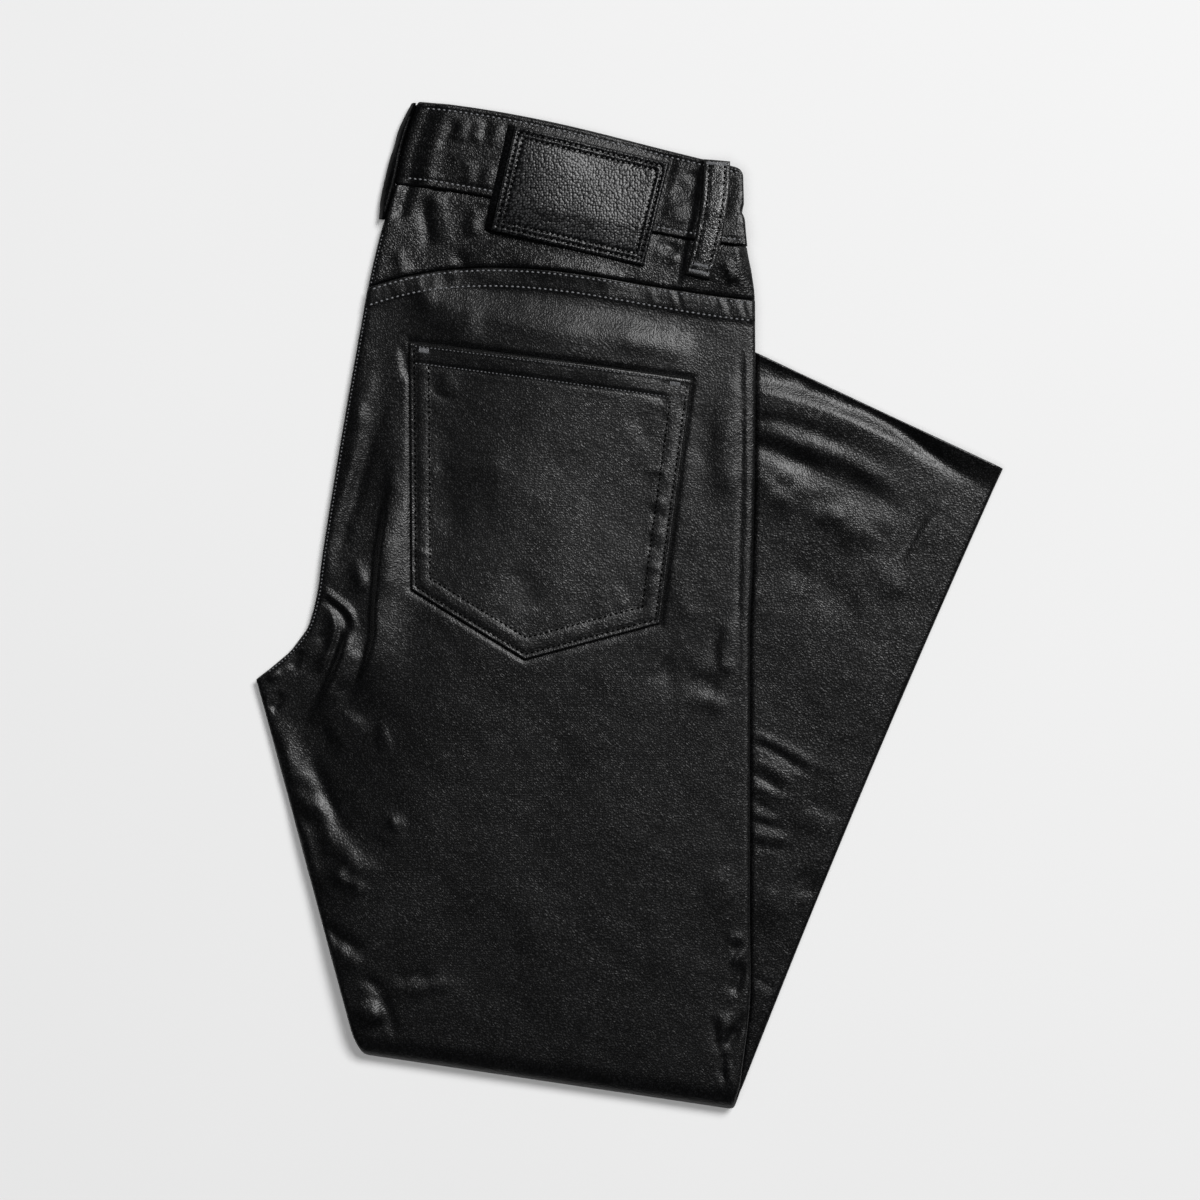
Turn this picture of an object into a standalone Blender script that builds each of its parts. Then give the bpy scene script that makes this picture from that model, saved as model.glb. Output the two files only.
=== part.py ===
"""Coated flared jeans, folded in half lengthwise with the backs outside and then once across the knee.

They lie flat on a table. +Z is up, +Y points to the waist end, and the origin is at the bottom centre.
The jeans make two stacks of four layers. The upper stack runs from the waist down to the knee fold, and
the lower stack runs from that fold, under the upper one, out to the hems at the right. Each layer is
named by its level: its height in the upper stack above the stack's inner face, where the two stacks meet.
A layer keeps its level round the fold, so the right back leg, which is outermost, lies on top of the
upper stack and on the table below.

Lengths are in metres. Tables are in millimetres and pass through MM.
"""

import math
from collections import namedtuple

import bmesh
import bpy

MM = 0.001

# ---- driving dimensions ----

CLOTH = 1.2 * MM             # one coated denim layer, with the air that it traps
BAND_CLOTH = 2.2 * MM        # the waistband: doubled cloth
INNER_CLOTH = 3.6 * MM       # the two fronts, hidden between the backs
BAND_INNER = 3.2 * MM        # the same two layers under the waistband
GAP = 0.3 * MM               # between neighbouring pieces
SURFACE_GAP = 0.5 * MM       # under a piece that lies on a curved panel
LEATHER = 1.4 * MM           # the patch
LOOP_CLOTH = 1.5 * MM        # a belt loop

STACK = 2 * CLOTH + 2 * GAP + INNER_CLOTH            # height of four layers of leg
BAND_STACK = 2 * BAND_CLOTH + 2 * GAP + BAND_INNER   # height of the folded waistband
FOLD_SLACK = 5.0 * MM        # extra reach of the knee fold, so that its roll is softer than a half circle
FOLD_CORNER = 5.3 * MM       # how far the fold's left corner is rounded off
FOLD_ANGLES = (30, 60, 90, 120, 150)

EDGE_REACH = 4.0 * MM        # width of the rounding along the side seams
EDGE_DROP = 1.0 * MM         # how far the outermost layer comes down at its side seam
INNER_INSET = 0.5 * MM       # how far the hidden layers stay inside the backs
INNER_GROOVE = 1.0 * MM      # depth of the groove between the two hidden fronts

DRAPE_START = 8.0 * MM       # the upper stack comes down beyond the lower stack's edges
DRAPE_LENGTH = 90.0 * MM

FELL_RISE = 0.8 * MM         # the turned allowance along the top edge of a leg panel, at the yoke seam
BAND_ROLL = 5.0 * MM         # reach of the waistband's roll at the centre back

# ---- plan of the upper stack ----
# Rows cross it from the waist to the knee fold. left and right are a row's ends, and bow_1 and bow_2 lift it
# at one third and two thirds of its width. The rows of the waistband and yoke are listed. All others end on
# the seams: curves with one guide point each, and straight lines down the thigh.

Row = namedtuple("Row", "left_x left_y right_x right_y bow_1 bow_2")
Seam = namedtuple("Seam", "start guide end")

WAIST_ROWS = [Row(*(value * MM for value in row)) for row in (
    # left_x  left_y  right_x  right_y  bow_1  bow_2
    (-106.0, 251.5, 56.5, 216.5, 3.5, 2.5),      # 0 top of the waistband
    (-113.0, 231.0, 57.0, 197.5, 1.8, 0.6),      # 1
    (-117.5, 210.0, 58.5, 177.5, 1.3, -0.9),     # 2 waistband seam
    (-125.5, 182.0, 61.0, 164.0, 6.0, 3.0),      # 3 middle of the yoke
)]

SEAT_SEAM = Seam((-131.0 * MM, 158.0 * MM), (-147.0 * MM, 72.0 * MM), (-157.5 * MM, 0.0))
HIP_SIDE = Seam((62.5 * MM, 151.0 * MM), (63.5 * MM, 60.0 * MM), (60.0 * MM, -14.0 * MM))
HIP_SHARES = (0.0, 0.06, 0.25, 0.43, 0.62, 0.82, 1.0)     # from the yoke seam to where the seat seam turns
HIP_BOWS = ((12.0, 7.0), (12.7, 7.5), (9.0, 5.5), (6.0, 3.5), (3.5, 2.0), (1.5, 1.0), (0.0, 0.0))

CROTCH_CURVE = Seam(SEAT_SEAM.end, (-159.0 * MM, -19.0 * MM), (-187.0 * MM, -38.0 * MM))
CROTCH_SIDE = (60.0 * MM, -58.0 * MM)        # the outseam, level with the crotch
CROTCH_STEPS = 3

FOLD_LEFT = (-139.0 * MM, -212.5 * MM)       # where the knee fold starts to roll
FOLD_RIGHT = (60.0 * MM, -240.6 * MM)
FOLD_DRAWN_IN = 5.0 * MM                     # its right end lies further in than the outseam above it
THIGH_SHARES = (0.12, 0.31, 0.54, 0.77, 1.0)

WAIST_TOP, WAIST_SEAM, YOKE_SEAM, YOKE_STITCH, FOLD = 0, 2, 4, 5, 18

# ---- plan of the lower stack: its two seams as curves with one guide point each, and a straight hem ----

INSEAM = Seam((-133.0 * MM, -212.0 * MM), (-61.0 * MM, -30.0 * MM), (-12.0 * MM, 161.0 * MM))
OUTSEAM = Seam((57.0 * MM, -241.0 * MM), (115.8 * MM, -90.2 * MM), (187.0 * MM, 67.5 * MM))
LOWER_SHARES = (0.0, 0.11, 0.22, 0.34, 0.46, 0.58, 0.7, 0.84, 1.0)

# ---- shares of a row's width at which every layer has a line of points ----

EDGE_SHARES = (0.0, 0.006, 0.018)
MIDDLE_SHARES = tuple(0.09 * step for step in range(1, 11))
SHARES = EDGE_SHARES + MIDDLE_SHARES + tuple(1.0 - share for share in reversed(EDGE_SHARES))

# ---- what lies on the upper stack, as plan corners ----

POCKET_TOP = ((-110.0 * MM, 131.0 * MM), (31.0 * MM, 112.0 * MM))
POCKET_BOTTOM = ((-109.0 * MM, 7.0 * MM), (-52.0 * MM, -28.0 * MM), (15.0 * MM, -10.0 * MM))
POCKET_HEM = 10.5 * MM       # depth of the pocket's doubled top hem
POCKET_HEM_RISE = 0.5 * MM

PATCH_TOP = ((-57.0 * MM, 238.0 * MM), (20.0 * MM, 220.0 * MM))
PATCH_BOTTOM = ((-69.0 * MM, 186.0 * MM), (7.0 * MM, 168.0 * MM))

SIDE_LOOP_TOP = ((37.0 * MM, 221.3 * MM), (50.0 * MM, 220.0 * MM))
SIDE_LOOP_BOTTOM = ((27.5 * MM, 164.0 * MM), (40.0 * MM, 161.0 * MM))
BACK_LOOP_TOP = ((-62.0 * MM, 239.5 * MM), (-49.3 * MM, 237.0 * MM))
BACK_LOOP_BOTTOM = ((-75.5 * MM, 187.0 * MM), (-63.0 * MM, 184.0 * MM))
LOOP_BULGE = 1.2 * MM        # how far a loop stands off the waistband at its middle

BAND_FALL = 17.0 * MM        # a patch or loop comes down to the yoke over this length below the seam
BAND_STEP = BAND_STACK - STACK

# ---- colours: near-black coated denim, its thread, and the leather patch ----

COATED = (0.012, 0.013, 0.015, 1.0)
COATED_INNER = (0.02, 0.021, 0.023, 1.0)
PATCH_LEATHER = (0.018, 0.019, 0.021, 1.0)


def clear_scene():
    for thing in list(bpy.data.objects):
        bpy.data.objects.remove(thing, do_unlink=True)


def material(name, colour, roughness):
    made = bpy.data.materials.new(name)
    made.use_nodes = True
    shader = made.node_tree.nodes["Principled BSDF"]
    shader.inputs["Base Color"].default_value = colour
    shader.inputs["Roughness"].default_value = roughness
    shader.inputs["Metallic"].default_value = 0.0
    return made


# ---- small geometry ----

def blend(first, second, share):
    return tuple(a + (b - a) * share for a, b in zip(first, second))


def smooth(value):
    value = min(max(value, 0.0), 1.0)
    return value * value * (3.0 - 2.0 * value)


def along_seam(seam, share):
    """A point of a seam curve, from its start (0) to its end (1)."""
    return blend(blend(seam.start, seam.guide, share), blend(seam.guide, seam.end, share), share)


def distance(first, second):
    return math.hypot(second[0] - first[0], second[1] - first[1])


# ---- the two stacks in plan ----

def upper_rows():
    """The rows of the upper stack, from the waist to the knee fold."""
    rows = list(WAIST_ROWS)
    for share, bows in zip(HIP_SHARES, HIP_BOWS):
        left, right = along_seam(SEAT_SEAM, share), along_seam(HIP_SIDE, share)
        rows.append(Row(*left, *right, *(bow * MM for bow in bows)))
    for step in range(1, CROTCH_STEPS + 1):
        share = step / CROTCH_STEPS
        rows.append(Row(*along_seam(CROTCH_CURVE, share), *blend(HIP_SIDE.end, CROTCH_SIDE, share), 0.0, 0.0))
    for share in THIGH_SHARES:
        left, right = blend(CROTCH_CURVE.end, FOLD_LEFT, share), blend(CROTCH_SIDE, FOLD_RIGHT, share)
        rows.append(Row(*left, *right, 0.0, 0.0))
    rows[FOLD] = rows[FOLD]._replace(right_x=FOLD_RIGHT[0] - FOLD_DRAWN_IN)
    return rows


UPPER_ROWS = upper_rows()


def upper_row(position):
    """The row at a position in UPPER_ROWS, which may lie between two of them."""
    index = min(int(position), FOLD - 1)
    return Row(*blend(UPPER_ROWS[index], UPPER_ROWS[index + 1], position - index))


def upper_plan(position, share):
    row = upper_row(position)
    x, y = blend((row.left_x, row.left_y), (row.right_x, row.right_y), share)
    bulge = 13.5 * share * (1.0 - share)
    return x, y + bulge * (row.bow_1 * (2 / 3 - share) + row.bow_2 * (share - 1 / 3))


def shifted(position, length):
    """The row position that lies a length further down the leg."""
    index = min(int(position), FOLD - 1)
    return position + length / distance(upper_plan(index, 0.5), upper_plan(index + 1, 0.5))


def lower_plan(position, share):
    return blend(along_seam(INSEAM, position), along_seam(OUTSEAM, position), share)


def fold_ends():
    row = UPPER_ROWS[FOLD]
    return (row.left_x, row.left_y), (row.right_x, row.right_y)


def fold_directions():
    """Unit plan vectors along the knee fold and out of it."""
    left, right = fold_ends()
    length = distance(left, right)
    along = ((right[0] - left[0]) / length, (right[1] - left[1]) / length)
    return along, (along[1], -along[0])


def fold_plan(angle, share, reach):
    """A point of the knee fold's roll, at an angle from the upper stack (0) to the lower one (180)."""
    along, outward = fold_directions()
    turn = math.radians(angle)
    passed = (1.0 - math.cos(turn)) / 2.0
    left = blend(fold_ends()[0], INSEAM.start, passed)
    right = blend(fold_ends()[1], OUTSEAM.start, passed)
    rounding = FOLD_CORNER * math.sin(turn)
    left = (left[0] + along[0] * rounding, left[1] + along[1] * rounding)
    x, y = blend(left, right, share)
    out = reach * math.sin(turn)
    return x + outward[0] * out, y + outward[1] * out


# ---- heights ----

def inseam_x(y):
    """The hidden inseam's x at a given y, held beyond its ends."""
    low, high = 0.0, 1.0
    for _ in range(24):
        middle = (low + high) / 2.0
        if along_seam(INSEAM, middle)[1] < y:
            low = middle
        else:
            high = middle
    return along_seam(INSEAM, low)[0]


def resting_height(x, y):
    """What the upper stack rests on: the lower stack, then a ramp down to the table beyond its edges."""
    hem_in, hem_out = INSEAM.end, OUTSEAM.end
    length = distance(hem_in, hem_out)
    normal = ((hem_in[1] - hem_out[1]) / length, (hem_out[0] - hem_in[0]) / length)
    past_hem = max((x - hem_out[0]) * normal[0] + (y - hem_out[1]) * normal[1], 0.0)
    past_inseam = max(inseam_x(y) - x, 0.0)
    beyond = math.hypot(past_hem, past_inseam)
    return (STACK + GAP) * (1.0 - smooth((beyond - DRAPE_START) / DRAPE_LENGTH))


def squeezed(level, height, edge_distance):
    """A level brought towards the stack's middle near its side seams, which rounds the stack's edges."""
    depth = 1.0 - min(edge_distance / EDGE_REACH, 1.0)
    drop = EDGE_DROP * (1.0 - math.sqrt(1.0 - depth * depth))
    middle = height / 2.0
    return middle + (level - middle) * (1.0 - drop / middle)


def edge_distance_of(plan, place, share):
    width = distance(plan(place, 0.0), plan(place, 1.0))
    return min(share, 1.0 - share) * width


def upper_point(position, share, level, height=STACK):
    x, y = upper_plan(position, share)
    level = squeezed(level, height, edge_distance_of(upper_plan, position, share))
    return x, y, resting_height(x, y) + level


def fold_point(angle, share, level):
    def plan(place, part):
        return fold_plan(place, part, FOLD_SLACK)
    level = squeezed(level, STACK, edge_distance_of(plan, angle, share))
    radius = GAP / 2.0 + level
    x, y = fold_plan(angle, share, FOLD_SLACK + radius)
    return x, y, STACK + GAP / 2.0 + radius * math.cos(math.radians(angle))


def lower_point(position, share, level):
    x, y = lower_plan(position, share)
    level = squeezed(level, STACK, edge_distance_of(lower_plan, position, share))
    return x, y, STACK - level


# ---- solids ----

def build_object(name, bm, made_material):
    bmesh.ops.triangulate(bm, faces=[face for face in bm.faces if len(face.verts) > 3])
    bmesh.ops.recalc_face_normals(bm, faces=bm.faces)
    mesh = bpy.data.meshes.new(name)
    bm.to_mesh(mesh)
    bm.free()
    mesh.materials.append(made_material)
    mesh.shade_smooth()
    mesh.set_sharp_from_angle(angle=math.radians(40))
    part = bpy.data.objects.new(name, mesh)
    bpy.context.scene.collection.objects.link(part)
    return part


def sheet(name, top_rows, under_rows, made_material, groove=0.0):
    """A closed wall between two grids of points. A groove, if any, is cut along both side edges."""
    bm = bmesh.new()
    top = [[bm.verts.new(point) for point in row] for row in top_rows]
    under = [[bm.verts.new(point) for point in row] for row in under_rows]
    last_row, last_column = len(top) - 1, len(top[0]) - 1
    for grid in (top, under):
        for i in range(last_row):
            for j in range(last_column):
                a, b, c, d = grid[i][j], grid[i][j + 1], grid[i + 1][j + 1], grid[i + 1][j]
                bm.faces.new((a, b, c))
                bm.faces.new((a, c, d))
    sides = {}
    for column, inner_column in ((0, 1), (last_column, last_column - 1)):
        sides[column] = []
        for i in range(last_row + 1):
            middle = (top[i][column].co + under[i][column].co) / 2.0
            inward = (top[i][inner_column].co - top[i][column].co).normalized()
            sides[column].append(bm.verts.new(middle + inward * groove) if groove else None)
    for column, middles in sides.items():
        for i in range(last_row):
            line = [top[i][column], top[i + 1][column]]
            if groove:
                bm.faces.new((line[0], line[1], middles[i + 1], middles[i]))
                line = [middles[i], middles[i + 1]]
            bm.faces.new((line[0], line[1], under[i + 1][column], under[i][column]))
    for i in (0, last_row):
        for j in range(last_column):
            corners = [top[i][j], top[i][j + 1], under[i][j + 1], under[i][j]]
            if groove and j == 0:
                corners.append(sides[0][i])
            if groove and j == last_column - 1:
                corners.insert(2, sides[last_column][i])
            bm.faces.new(corners)
    return build_object(name, bm, made_material)


def leg_rows(positions, level_at):
    """Rows of points of one layer from the upper stack, round the knee fold, to the hem."""
    rows = []
    for position in positions:
        rows.append([upper_point(position, share, level_at(position)) for share in SHARES])
    for angle in FOLD_ANGLES:
        rows.append([fold_point(angle, share, level_at(FOLD)) for share in SHARES])
    for position in LOWER_SHARES:
        rows.append([lower_point(position, share, level_at(FOLD)) for share in SHARES])
    return rows


def leg_positions():
    """Upper rows of a leg panel, from the yoke seam to the knee fold."""
    first = [YOKE_SEAM, YOKE_STITCH, shifted(YOKE_STITCH, 1.5 * MM)]
    return first + list(range(YOKE_STITCH + 1, FOLD + 1))


def yoke_positions():
    """Upper rows of a yoke, just clear of the waistband and of the leg panel."""
    return [shifted(WAIST_SEAM, GAP), shifted(WAIST_SEAM, 3 * MM), 3, shifted(YOKE_SEAM - 1e-9, -GAP)]


def band_positions():
    """Upper rows of the waistband."""
    return [WAIST_TOP, shifted(WAIST_TOP, 1.5 * MM), 1, shifted(WAIST_SEAM - 1e-9, -3 * MM), WAIST_SEAM]


def make_back_leg_right(coated):
    """The right back leg, which wraps the whole bundle, on top above the fold and on the table below."""
    inside = STACK - CLOTH

    def outer(position):
        return STACK + (FELL_RISE if position <= YOKE_STITCH else 0.0)

    positions = leg_positions()
    top, under = leg_rows(positions, outer), leg_rows(positions, lambda _: inside)
    return sheet("back_leg_right", top, under, coated)


def make_back_leg_left(coated):
    """The left back leg, innermost at the fold, which shows as the flared leg at the right."""
    positions = leg_positions()
    top, under = leg_rows(positions, lambda _: CLOTH), leg_rows(positions, lambda _: 0.0)
    return sheet("back_leg_left", top, under, coated)


def make_inner_layers(coated_inner):
    """Both fronts, hidden between the backs, as one rounded solid with a groove between the layers."""
    low, high = CLOTH + GAP, STACK - CLOTH - GAP
    band_low, band_high = BAND_CLOTH + GAP, BAND_STACK - BAND_CLOTH - GAP
    above_seam = shifted(WAIST_SEAM - 1e-9, -3 * MM)
    below_seam = shifted(WAIST_SEAM, 3 * MM)
    # position, lower level, upper level, stack height, inset at the centre back
    band_rows = (
        (shifted(WAIST_TOP, 1.5 * MM), band_low, band_high, BAND_STACK, BAND_ROLL),
        (1, band_low, band_high, BAND_STACK, BAND_ROLL),
        (above_seam, band_low, band_high, BAND_STACK, BAND_ROLL),
        (WAIST_SEAM, band_low, high, STACK, BAND_ROLL),
        (below_seam, low, high, STACK, INNER_INSET),
        (3, low, high, STACK, INNER_INSET),
    )

    def inset_shares(plan, position, left_inset):
        """The shared columns, with those at the edges moved inwards."""
        width = distance(plan(position, 0.0), plan(position, 1.0))
        left, right = left_inset / width, INNER_INSET / width
        first = MIDDLE_SHARES[0]
        shares = []
        for share in SHARES:
            if share < first:
                share = left + share * (1.0 - left / first)
            elif share > 1.0 - first:
                share = 1.0 - right - (1.0 - share) * (1.0 - right / first)
            shares.append(share)
        return shares

    def rows_at(is_top):
        rows = []
        for position, low_level, high_level, height, inset in band_rows:
            level = high_level if is_top else low_level
            shares = inset_shares(upper_plan, position, inset)
            rows.append([upper_point(position, share, level, height) for share in shares])
        level = high if is_top else low
        for position in leg_positions():
            shares = inset_shares(upper_plan, position, INNER_INSET)
            rows.append([upper_point(position, share, level) for share in shares])
        for angle in FOLD_ANGLES:
            rows.append([fold_point(angle, share, level) for share in SHARES])
        for position in LOWER_SHARES:
            shares = inset_shares(lower_plan, position, INNER_INSET)
            rows.append([lower_point(position, share, level) for share in shares])
        return rows

    return sheet("inner_layers", rows_at(True), rows_at(False), coated_inner, INNER_GROOVE)


def make_yoke(name, under_level, coated):
    """A yoke between the waistband and the leg panel."""
    def rows_at(level):
        positions = yoke_positions()
        return [[upper_point(position, share, level) for share in SHARES] for position in positions]
    return sheet(name, rows_at(under_level + CLOTH), rows_at(under_level), coated)


def make_waistband(coated):
    """The back of the waistband: one band that rolls round the centre back to the underside."""
    positions = band_positions()
    positions[-1] = shifted(WAIST_SEAM - 1e-9, -GAP)
    middle = BAND_STACK / 2.0
    flat_shares = [share for share in SHARES if share >= MIDDLE_SHARES[0]]
    roll_angles = (90, 60, 30, 0, -30, -60, -90)

    def section(position, inward):
        """The band's outer face, or its inner face where inward is the band's thickness."""
        left = upper_plan(position, 0.0)
        right = upper_plan(position, 1.0)
        width = distance(left, right)
        points = []
        for share in reversed(flat_shares):
            points.append(upper_point(position, share, BAND_STACK - inward, BAND_STACK))
        for angle in roll_angles:
            turn = math.radians(angle)
            inset = BAND_ROLL - (BAND_ROLL - inward) * math.cos(turn)
            x, y = blend(left, right, inset / width)
            points.append((x, y, resting_height(x, y) + middle + (middle - inward) * math.sin(turn)))
        for share in flat_shares:
            points.append(upper_point(position, share, inward, BAND_STACK))
        return points

    outer = [section(position, 0.0) for position in positions]
    inner = [section(position, BAND_CLOTH) for position in positions]
    return sheet("waistband_back", outer, inner, coated)


def make_back_pocket(coated):
    """The right back pocket: a pointed patch pocket with a doubled top hem, laid on the leg panel."""
    left, tip, right = POCKET_BOTTOM
    tip_share = (tip[0] - left[0]) / (right[0] - left[0])
    columns = [tip_share * step / 4 for step in range(4)]
    columns += [tip_share + (1.0 - tip_share) * step / 5 for step in range(6)]
    # rows down each column, as shares: the doubled hem, a short step off it, and the rest of the pocket
    body_rows = 7
    top, under = [], []
    for row in range(body_rows + 3):
        top.append([])
        under.append([])
        for column in columns:
            start = blend(POCKET_TOP[0], POCKET_TOP[1], column)
            if column <= tip_share:
                end = blend(left, tip, column / tip_share)
            else:
                end = blend(tip, right, (column - tip_share) / (1.0 - tip_share))
            hem_share = POCKET_HEM / distance(start, end)
            body_share = 1.15 * hem_share
            if row < 2:
                share = row * hem_share
            else:
                share = body_share + (1.0 - body_share) * (row - 2) / body_rows
            x, y = blend(start, end, share)
            base = resting_height(x, y) + STACK + SURFACE_GAP
            rise = POCKET_HEM_RISE if row < 2 else 0.0
            under[-1].append((x, y, base))
            top[-1].append((x, y, base + CLOTH + rise))
    return sheet("back_pocket_right", top, under, coated)


def over_band(x, y):
    """Height of what lies on the waistband and hangs over its seam on to the yoke."""
    left, right = upper_plan(WAIST_SEAM, 0.0), upper_plan(WAIST_SEAM, 1.0)
    seam_y = left[1] + (right[1] - left[1]) * (x - left[0]) / (right[0] - left[0])
    fall = min(max((seam_y - y) / BAND_FALL, 0.0), 1.0)
    return resting_height(x, y) + BAND_STACK + SURFACE_GAP - (BAND_STEP - 0.2 * MM) * fall


def strip(name, top_edge, bottom_edge, columns, rows, thickness, lift, made_material):
    """A flat piece laid over the waistband between two plan edges, raised by lift(across, down)."""
    top, under = [], []
    for down in rows:
        left = blend(top_edge[0], bottom_edge[0], down)
        right = blend(top_edge[1], bottom_edge[1], down)
        top.append([])
        under.append([])
        for across in columns:
            x, y = blend(left, right, across)
            base = over_band(x, y) + lift(across, down)
            under[-1].append((x, y, base))
            top[-1].append((x, y, base + thickness))
    return sheet(name, top, under, made_material)


def make_patch(leather):
    """The bare leather patch, raised at its left where it covers most of a belt loop."""
    def lift(across, _):
        return (LOOP_CLOTH + SURFACE_GAP) * (1.0 - smooth((across - 0.12) / 0.22))
    columns = (0.0, 0.06, 0.12, 0.2, 0.27, 0.34, 0.5, 0.67, 0.84, 1.0)
    rows = (0.0, 0.17, 0.34, 0.5, 0.66, 0.74, 0.87, 1.0)
    return strip("patch", PATCH_TOP, PATCH_BOTTOM, columns, rows, LEATHER, lift, leather)


def make_side_loop(coated):
    """The belt loop near the side seam, which stands off the waistband at its middle."""
    def lift(_, down):
        return LOOP_BULGE * math.sin(math.pi * min(down / 0.75, 1.0)) ** 2
    rows = (0.0, 0.1, 0.2, 0.3, 0.4, 0.5, 0.6, 0.7, 0.78, 0.89, 1.0)
    return strip("belt_loop_side", SIDE_LOOP_TOP, SIDE_LOOP_BOTTOM, (0.0, 0.5, 1.0), rows,
                 LOOP_CLOTH, lift, coated)


def make_back_loop(coated):
    """The belt loop under the patch's left edge."""
    rows = (0.0, 0.17, 0.34, 0.5, 0.64, 0.72, 0.86, 1.0)
    return strip("belt_loop_back", BACK_LOOP_TOP, BACK_LOOP_BOTTOM, (0.0, 0.5, 1.0), rows,
                 LOOP_CLOTH - 0.1 * MM, lambda *_: 0.0, coated)


def make_centre_loop(coated):
    """The centre-back belt loop, folded round the waistband's roll and standing off it at its middle."""
    stations = (
        # row position, how far the loop stands off the roll in millimetres
        (0.06, 1.2), (0.35, 2.2), (0.7, 2.9), (1.1, 2.7), (1.5, 3.6), (1.95, 4.0), (2.3, 3.4), (2.62, 1.4),
    )
    end_angle = 45
    angles = (end_angle, end_angle / 2, 0, -end_angle / 2, -end_angle)
    thickness = 1.3 * MM
    middle = BAND_STACK / 2.0
    outer, inner = [], []
    for position, stand_off in stations:
        left, right = upper_plan(position, 0.0), upper_plan(position, 1.0)
        width = distance(left, right)
        for rows, reach in ((outer, thickness), (inner, 0.0)):
            rows.append([])
            for angle in angles:
                turn, end_turn = math.radians(angle), math.radians(end_angle)
                arch = (math.cos(turn) - math.cos(end_turn)) / (1.0 - math.cos(end_turn))
                out = GAP + stand_off * MM * arch + reach * math.cos(turn)
                x, y = blend(left, right, -out / width)
                rows[-1].append((x, y, middle + (middle + reach) * math.sin(turn)))
    return sheet("belt_loop_centre", outer, inner, coated)


def main():
    clear_scene()
    coated = material("coated_denim", COATED, 0.38)
    coated_inner = material("coated_denim_inner", COATED_INNER, 0.5)
    leather = material("patch_leather", PATCH_LEATHER, 0.5)
    make_back_leg_right(coated)
    make_back_leg_left(coated)
    make_inner_layers(coated_inner)
    make_yoke("yoke_right", STACK - CLOTH, coated)
    make_yoke("yoke_left", 0.0, coated)
    make_waistband(coated)
    make_back_pocket(coated)
    make_patch(leather)
    make_side_loop(coated)
    make_back_loop(coated)
    make_centre_loop(coated)


main()
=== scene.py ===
"""Looks of the coated flared jeans: thin cloth shells on the frame, stitching, materials, camera, light.

Everything is in metres, in the frame's own axes: +Z up, +Y towards the waist end. Tables are in millimetres
and pass through MM or in_mm. The upper stack runs from the waist to the knee fold, the lower one from the
fold, under the upper one, to the hem at the right. A level is a layer's height in the upper stack above its
inner face.
"""

import math
from collections import namedtuple

import bmesh
import bpy
import numpy as np
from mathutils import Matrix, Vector


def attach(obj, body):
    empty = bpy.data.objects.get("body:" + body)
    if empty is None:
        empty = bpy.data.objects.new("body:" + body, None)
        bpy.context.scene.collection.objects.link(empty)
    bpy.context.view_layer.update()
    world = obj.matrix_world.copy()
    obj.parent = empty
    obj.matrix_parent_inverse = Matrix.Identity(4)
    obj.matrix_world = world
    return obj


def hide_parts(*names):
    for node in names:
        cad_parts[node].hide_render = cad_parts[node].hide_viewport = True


MM = 0.001

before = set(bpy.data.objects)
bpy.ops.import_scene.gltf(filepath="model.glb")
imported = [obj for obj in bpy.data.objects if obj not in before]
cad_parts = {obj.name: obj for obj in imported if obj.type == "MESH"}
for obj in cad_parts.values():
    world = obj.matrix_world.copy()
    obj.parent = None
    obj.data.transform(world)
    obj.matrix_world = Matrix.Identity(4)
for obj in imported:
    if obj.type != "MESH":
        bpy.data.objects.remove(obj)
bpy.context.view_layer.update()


def in_mm(*values):
    """An array of numbers or points given in millimetres."""
    return MM * np.array(values)


# ---- the frame's sizes, as the CAD has them ----

CLOTH = 1.2 * MM
BAND_CLOTH = 2.2 * MM
INNER_CLOTH = 3.6 * MM
BAND_INNER = 3.2 * MM
GAP = 0.3 * MM
LEATHER = 1.4 * MM
LOOP_CLOTH = 1.5 * MM
STACK = 2 * CLOTH + 2 * GAP + INNER_CLOTH
BAND_STACK = 2 * BAND_CLOTH + 2 * GAP + BAND_INNER
BAND_STEP = BAND_STACK - STACK
BAND_FALL = 17.0 * MM
FOLD_SLACK = 5.0 * MM
FOLD_CORNER = 5.3 * MM
DRAPE_START = 8.0 * MM
DRAPE_LENGTH = 90.0 * MM
BAND_ROLL = 5.0 * MM
INNER_INSET = 0.5 * MM
INNER_GROOVE = 1.0 * MM
FELL_RISE = 0.8 * MM

# rows across the upper stack at the waistband and yoke: left_x, left_y, right_x, right_y, bow_1, bow_2
WAIST_ROWS = in_mm(
    (-106.0, 251.5, 56.5, 216.5, 3.5, 2.5),      # 0 top of the waistband
    (-113.0, 231.0, 57.0, 197.5, 1.8, 0.6),
    (-117.5, 210.0, 58.5, 177.5, 1.3, -0.9),     # 2 waistband seam
    (-125.5, 182.0, 61.0, 164.0, 6.0, 3.0),      # 3 middle of the yoke
)

# the seams on which the rows below end: curves with a start, a guide point and an end, then straight thighs
SEAT_SEAM = in_mm((-131.0, 158.0), (-147.0, 72.0), (-157.5, 0.0))
HIP_SIDE = in_mm((62.5, 151.0), (63.5, 60.0), (60.0, -14.0))
HIP_SHARES = (0.0, 0.06, 0.25, 0.43, 0.62, 0.82, 1.0)
HIP_BOWS = in_mm((12.0, 7.0), (12.7, 7.5), (9.0, 5.5), (6.0, 3.5), (3.5, 2.0), (1.5, 1.0), (0.0, 0.0))
CROTCH_CURVE = in_mm((-157.5, 0.0), (-159.0, -19.0), (-187.0, -38.0))
CROTCH_SIDE = in_mm(60.0, -58.0)        # the outseam, level with the crotch
CROTCH_STEPS = 3
FOLD_LEFT = in_mm(-139.0, -212.5)       # where the knee fold starts to roll
FOLD_RIGHT = in_mm(60.0, -240.6)
FOLD_DRAWN_IN = 5.0 * MM                # its right end lies further in than the outseam above it
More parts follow.
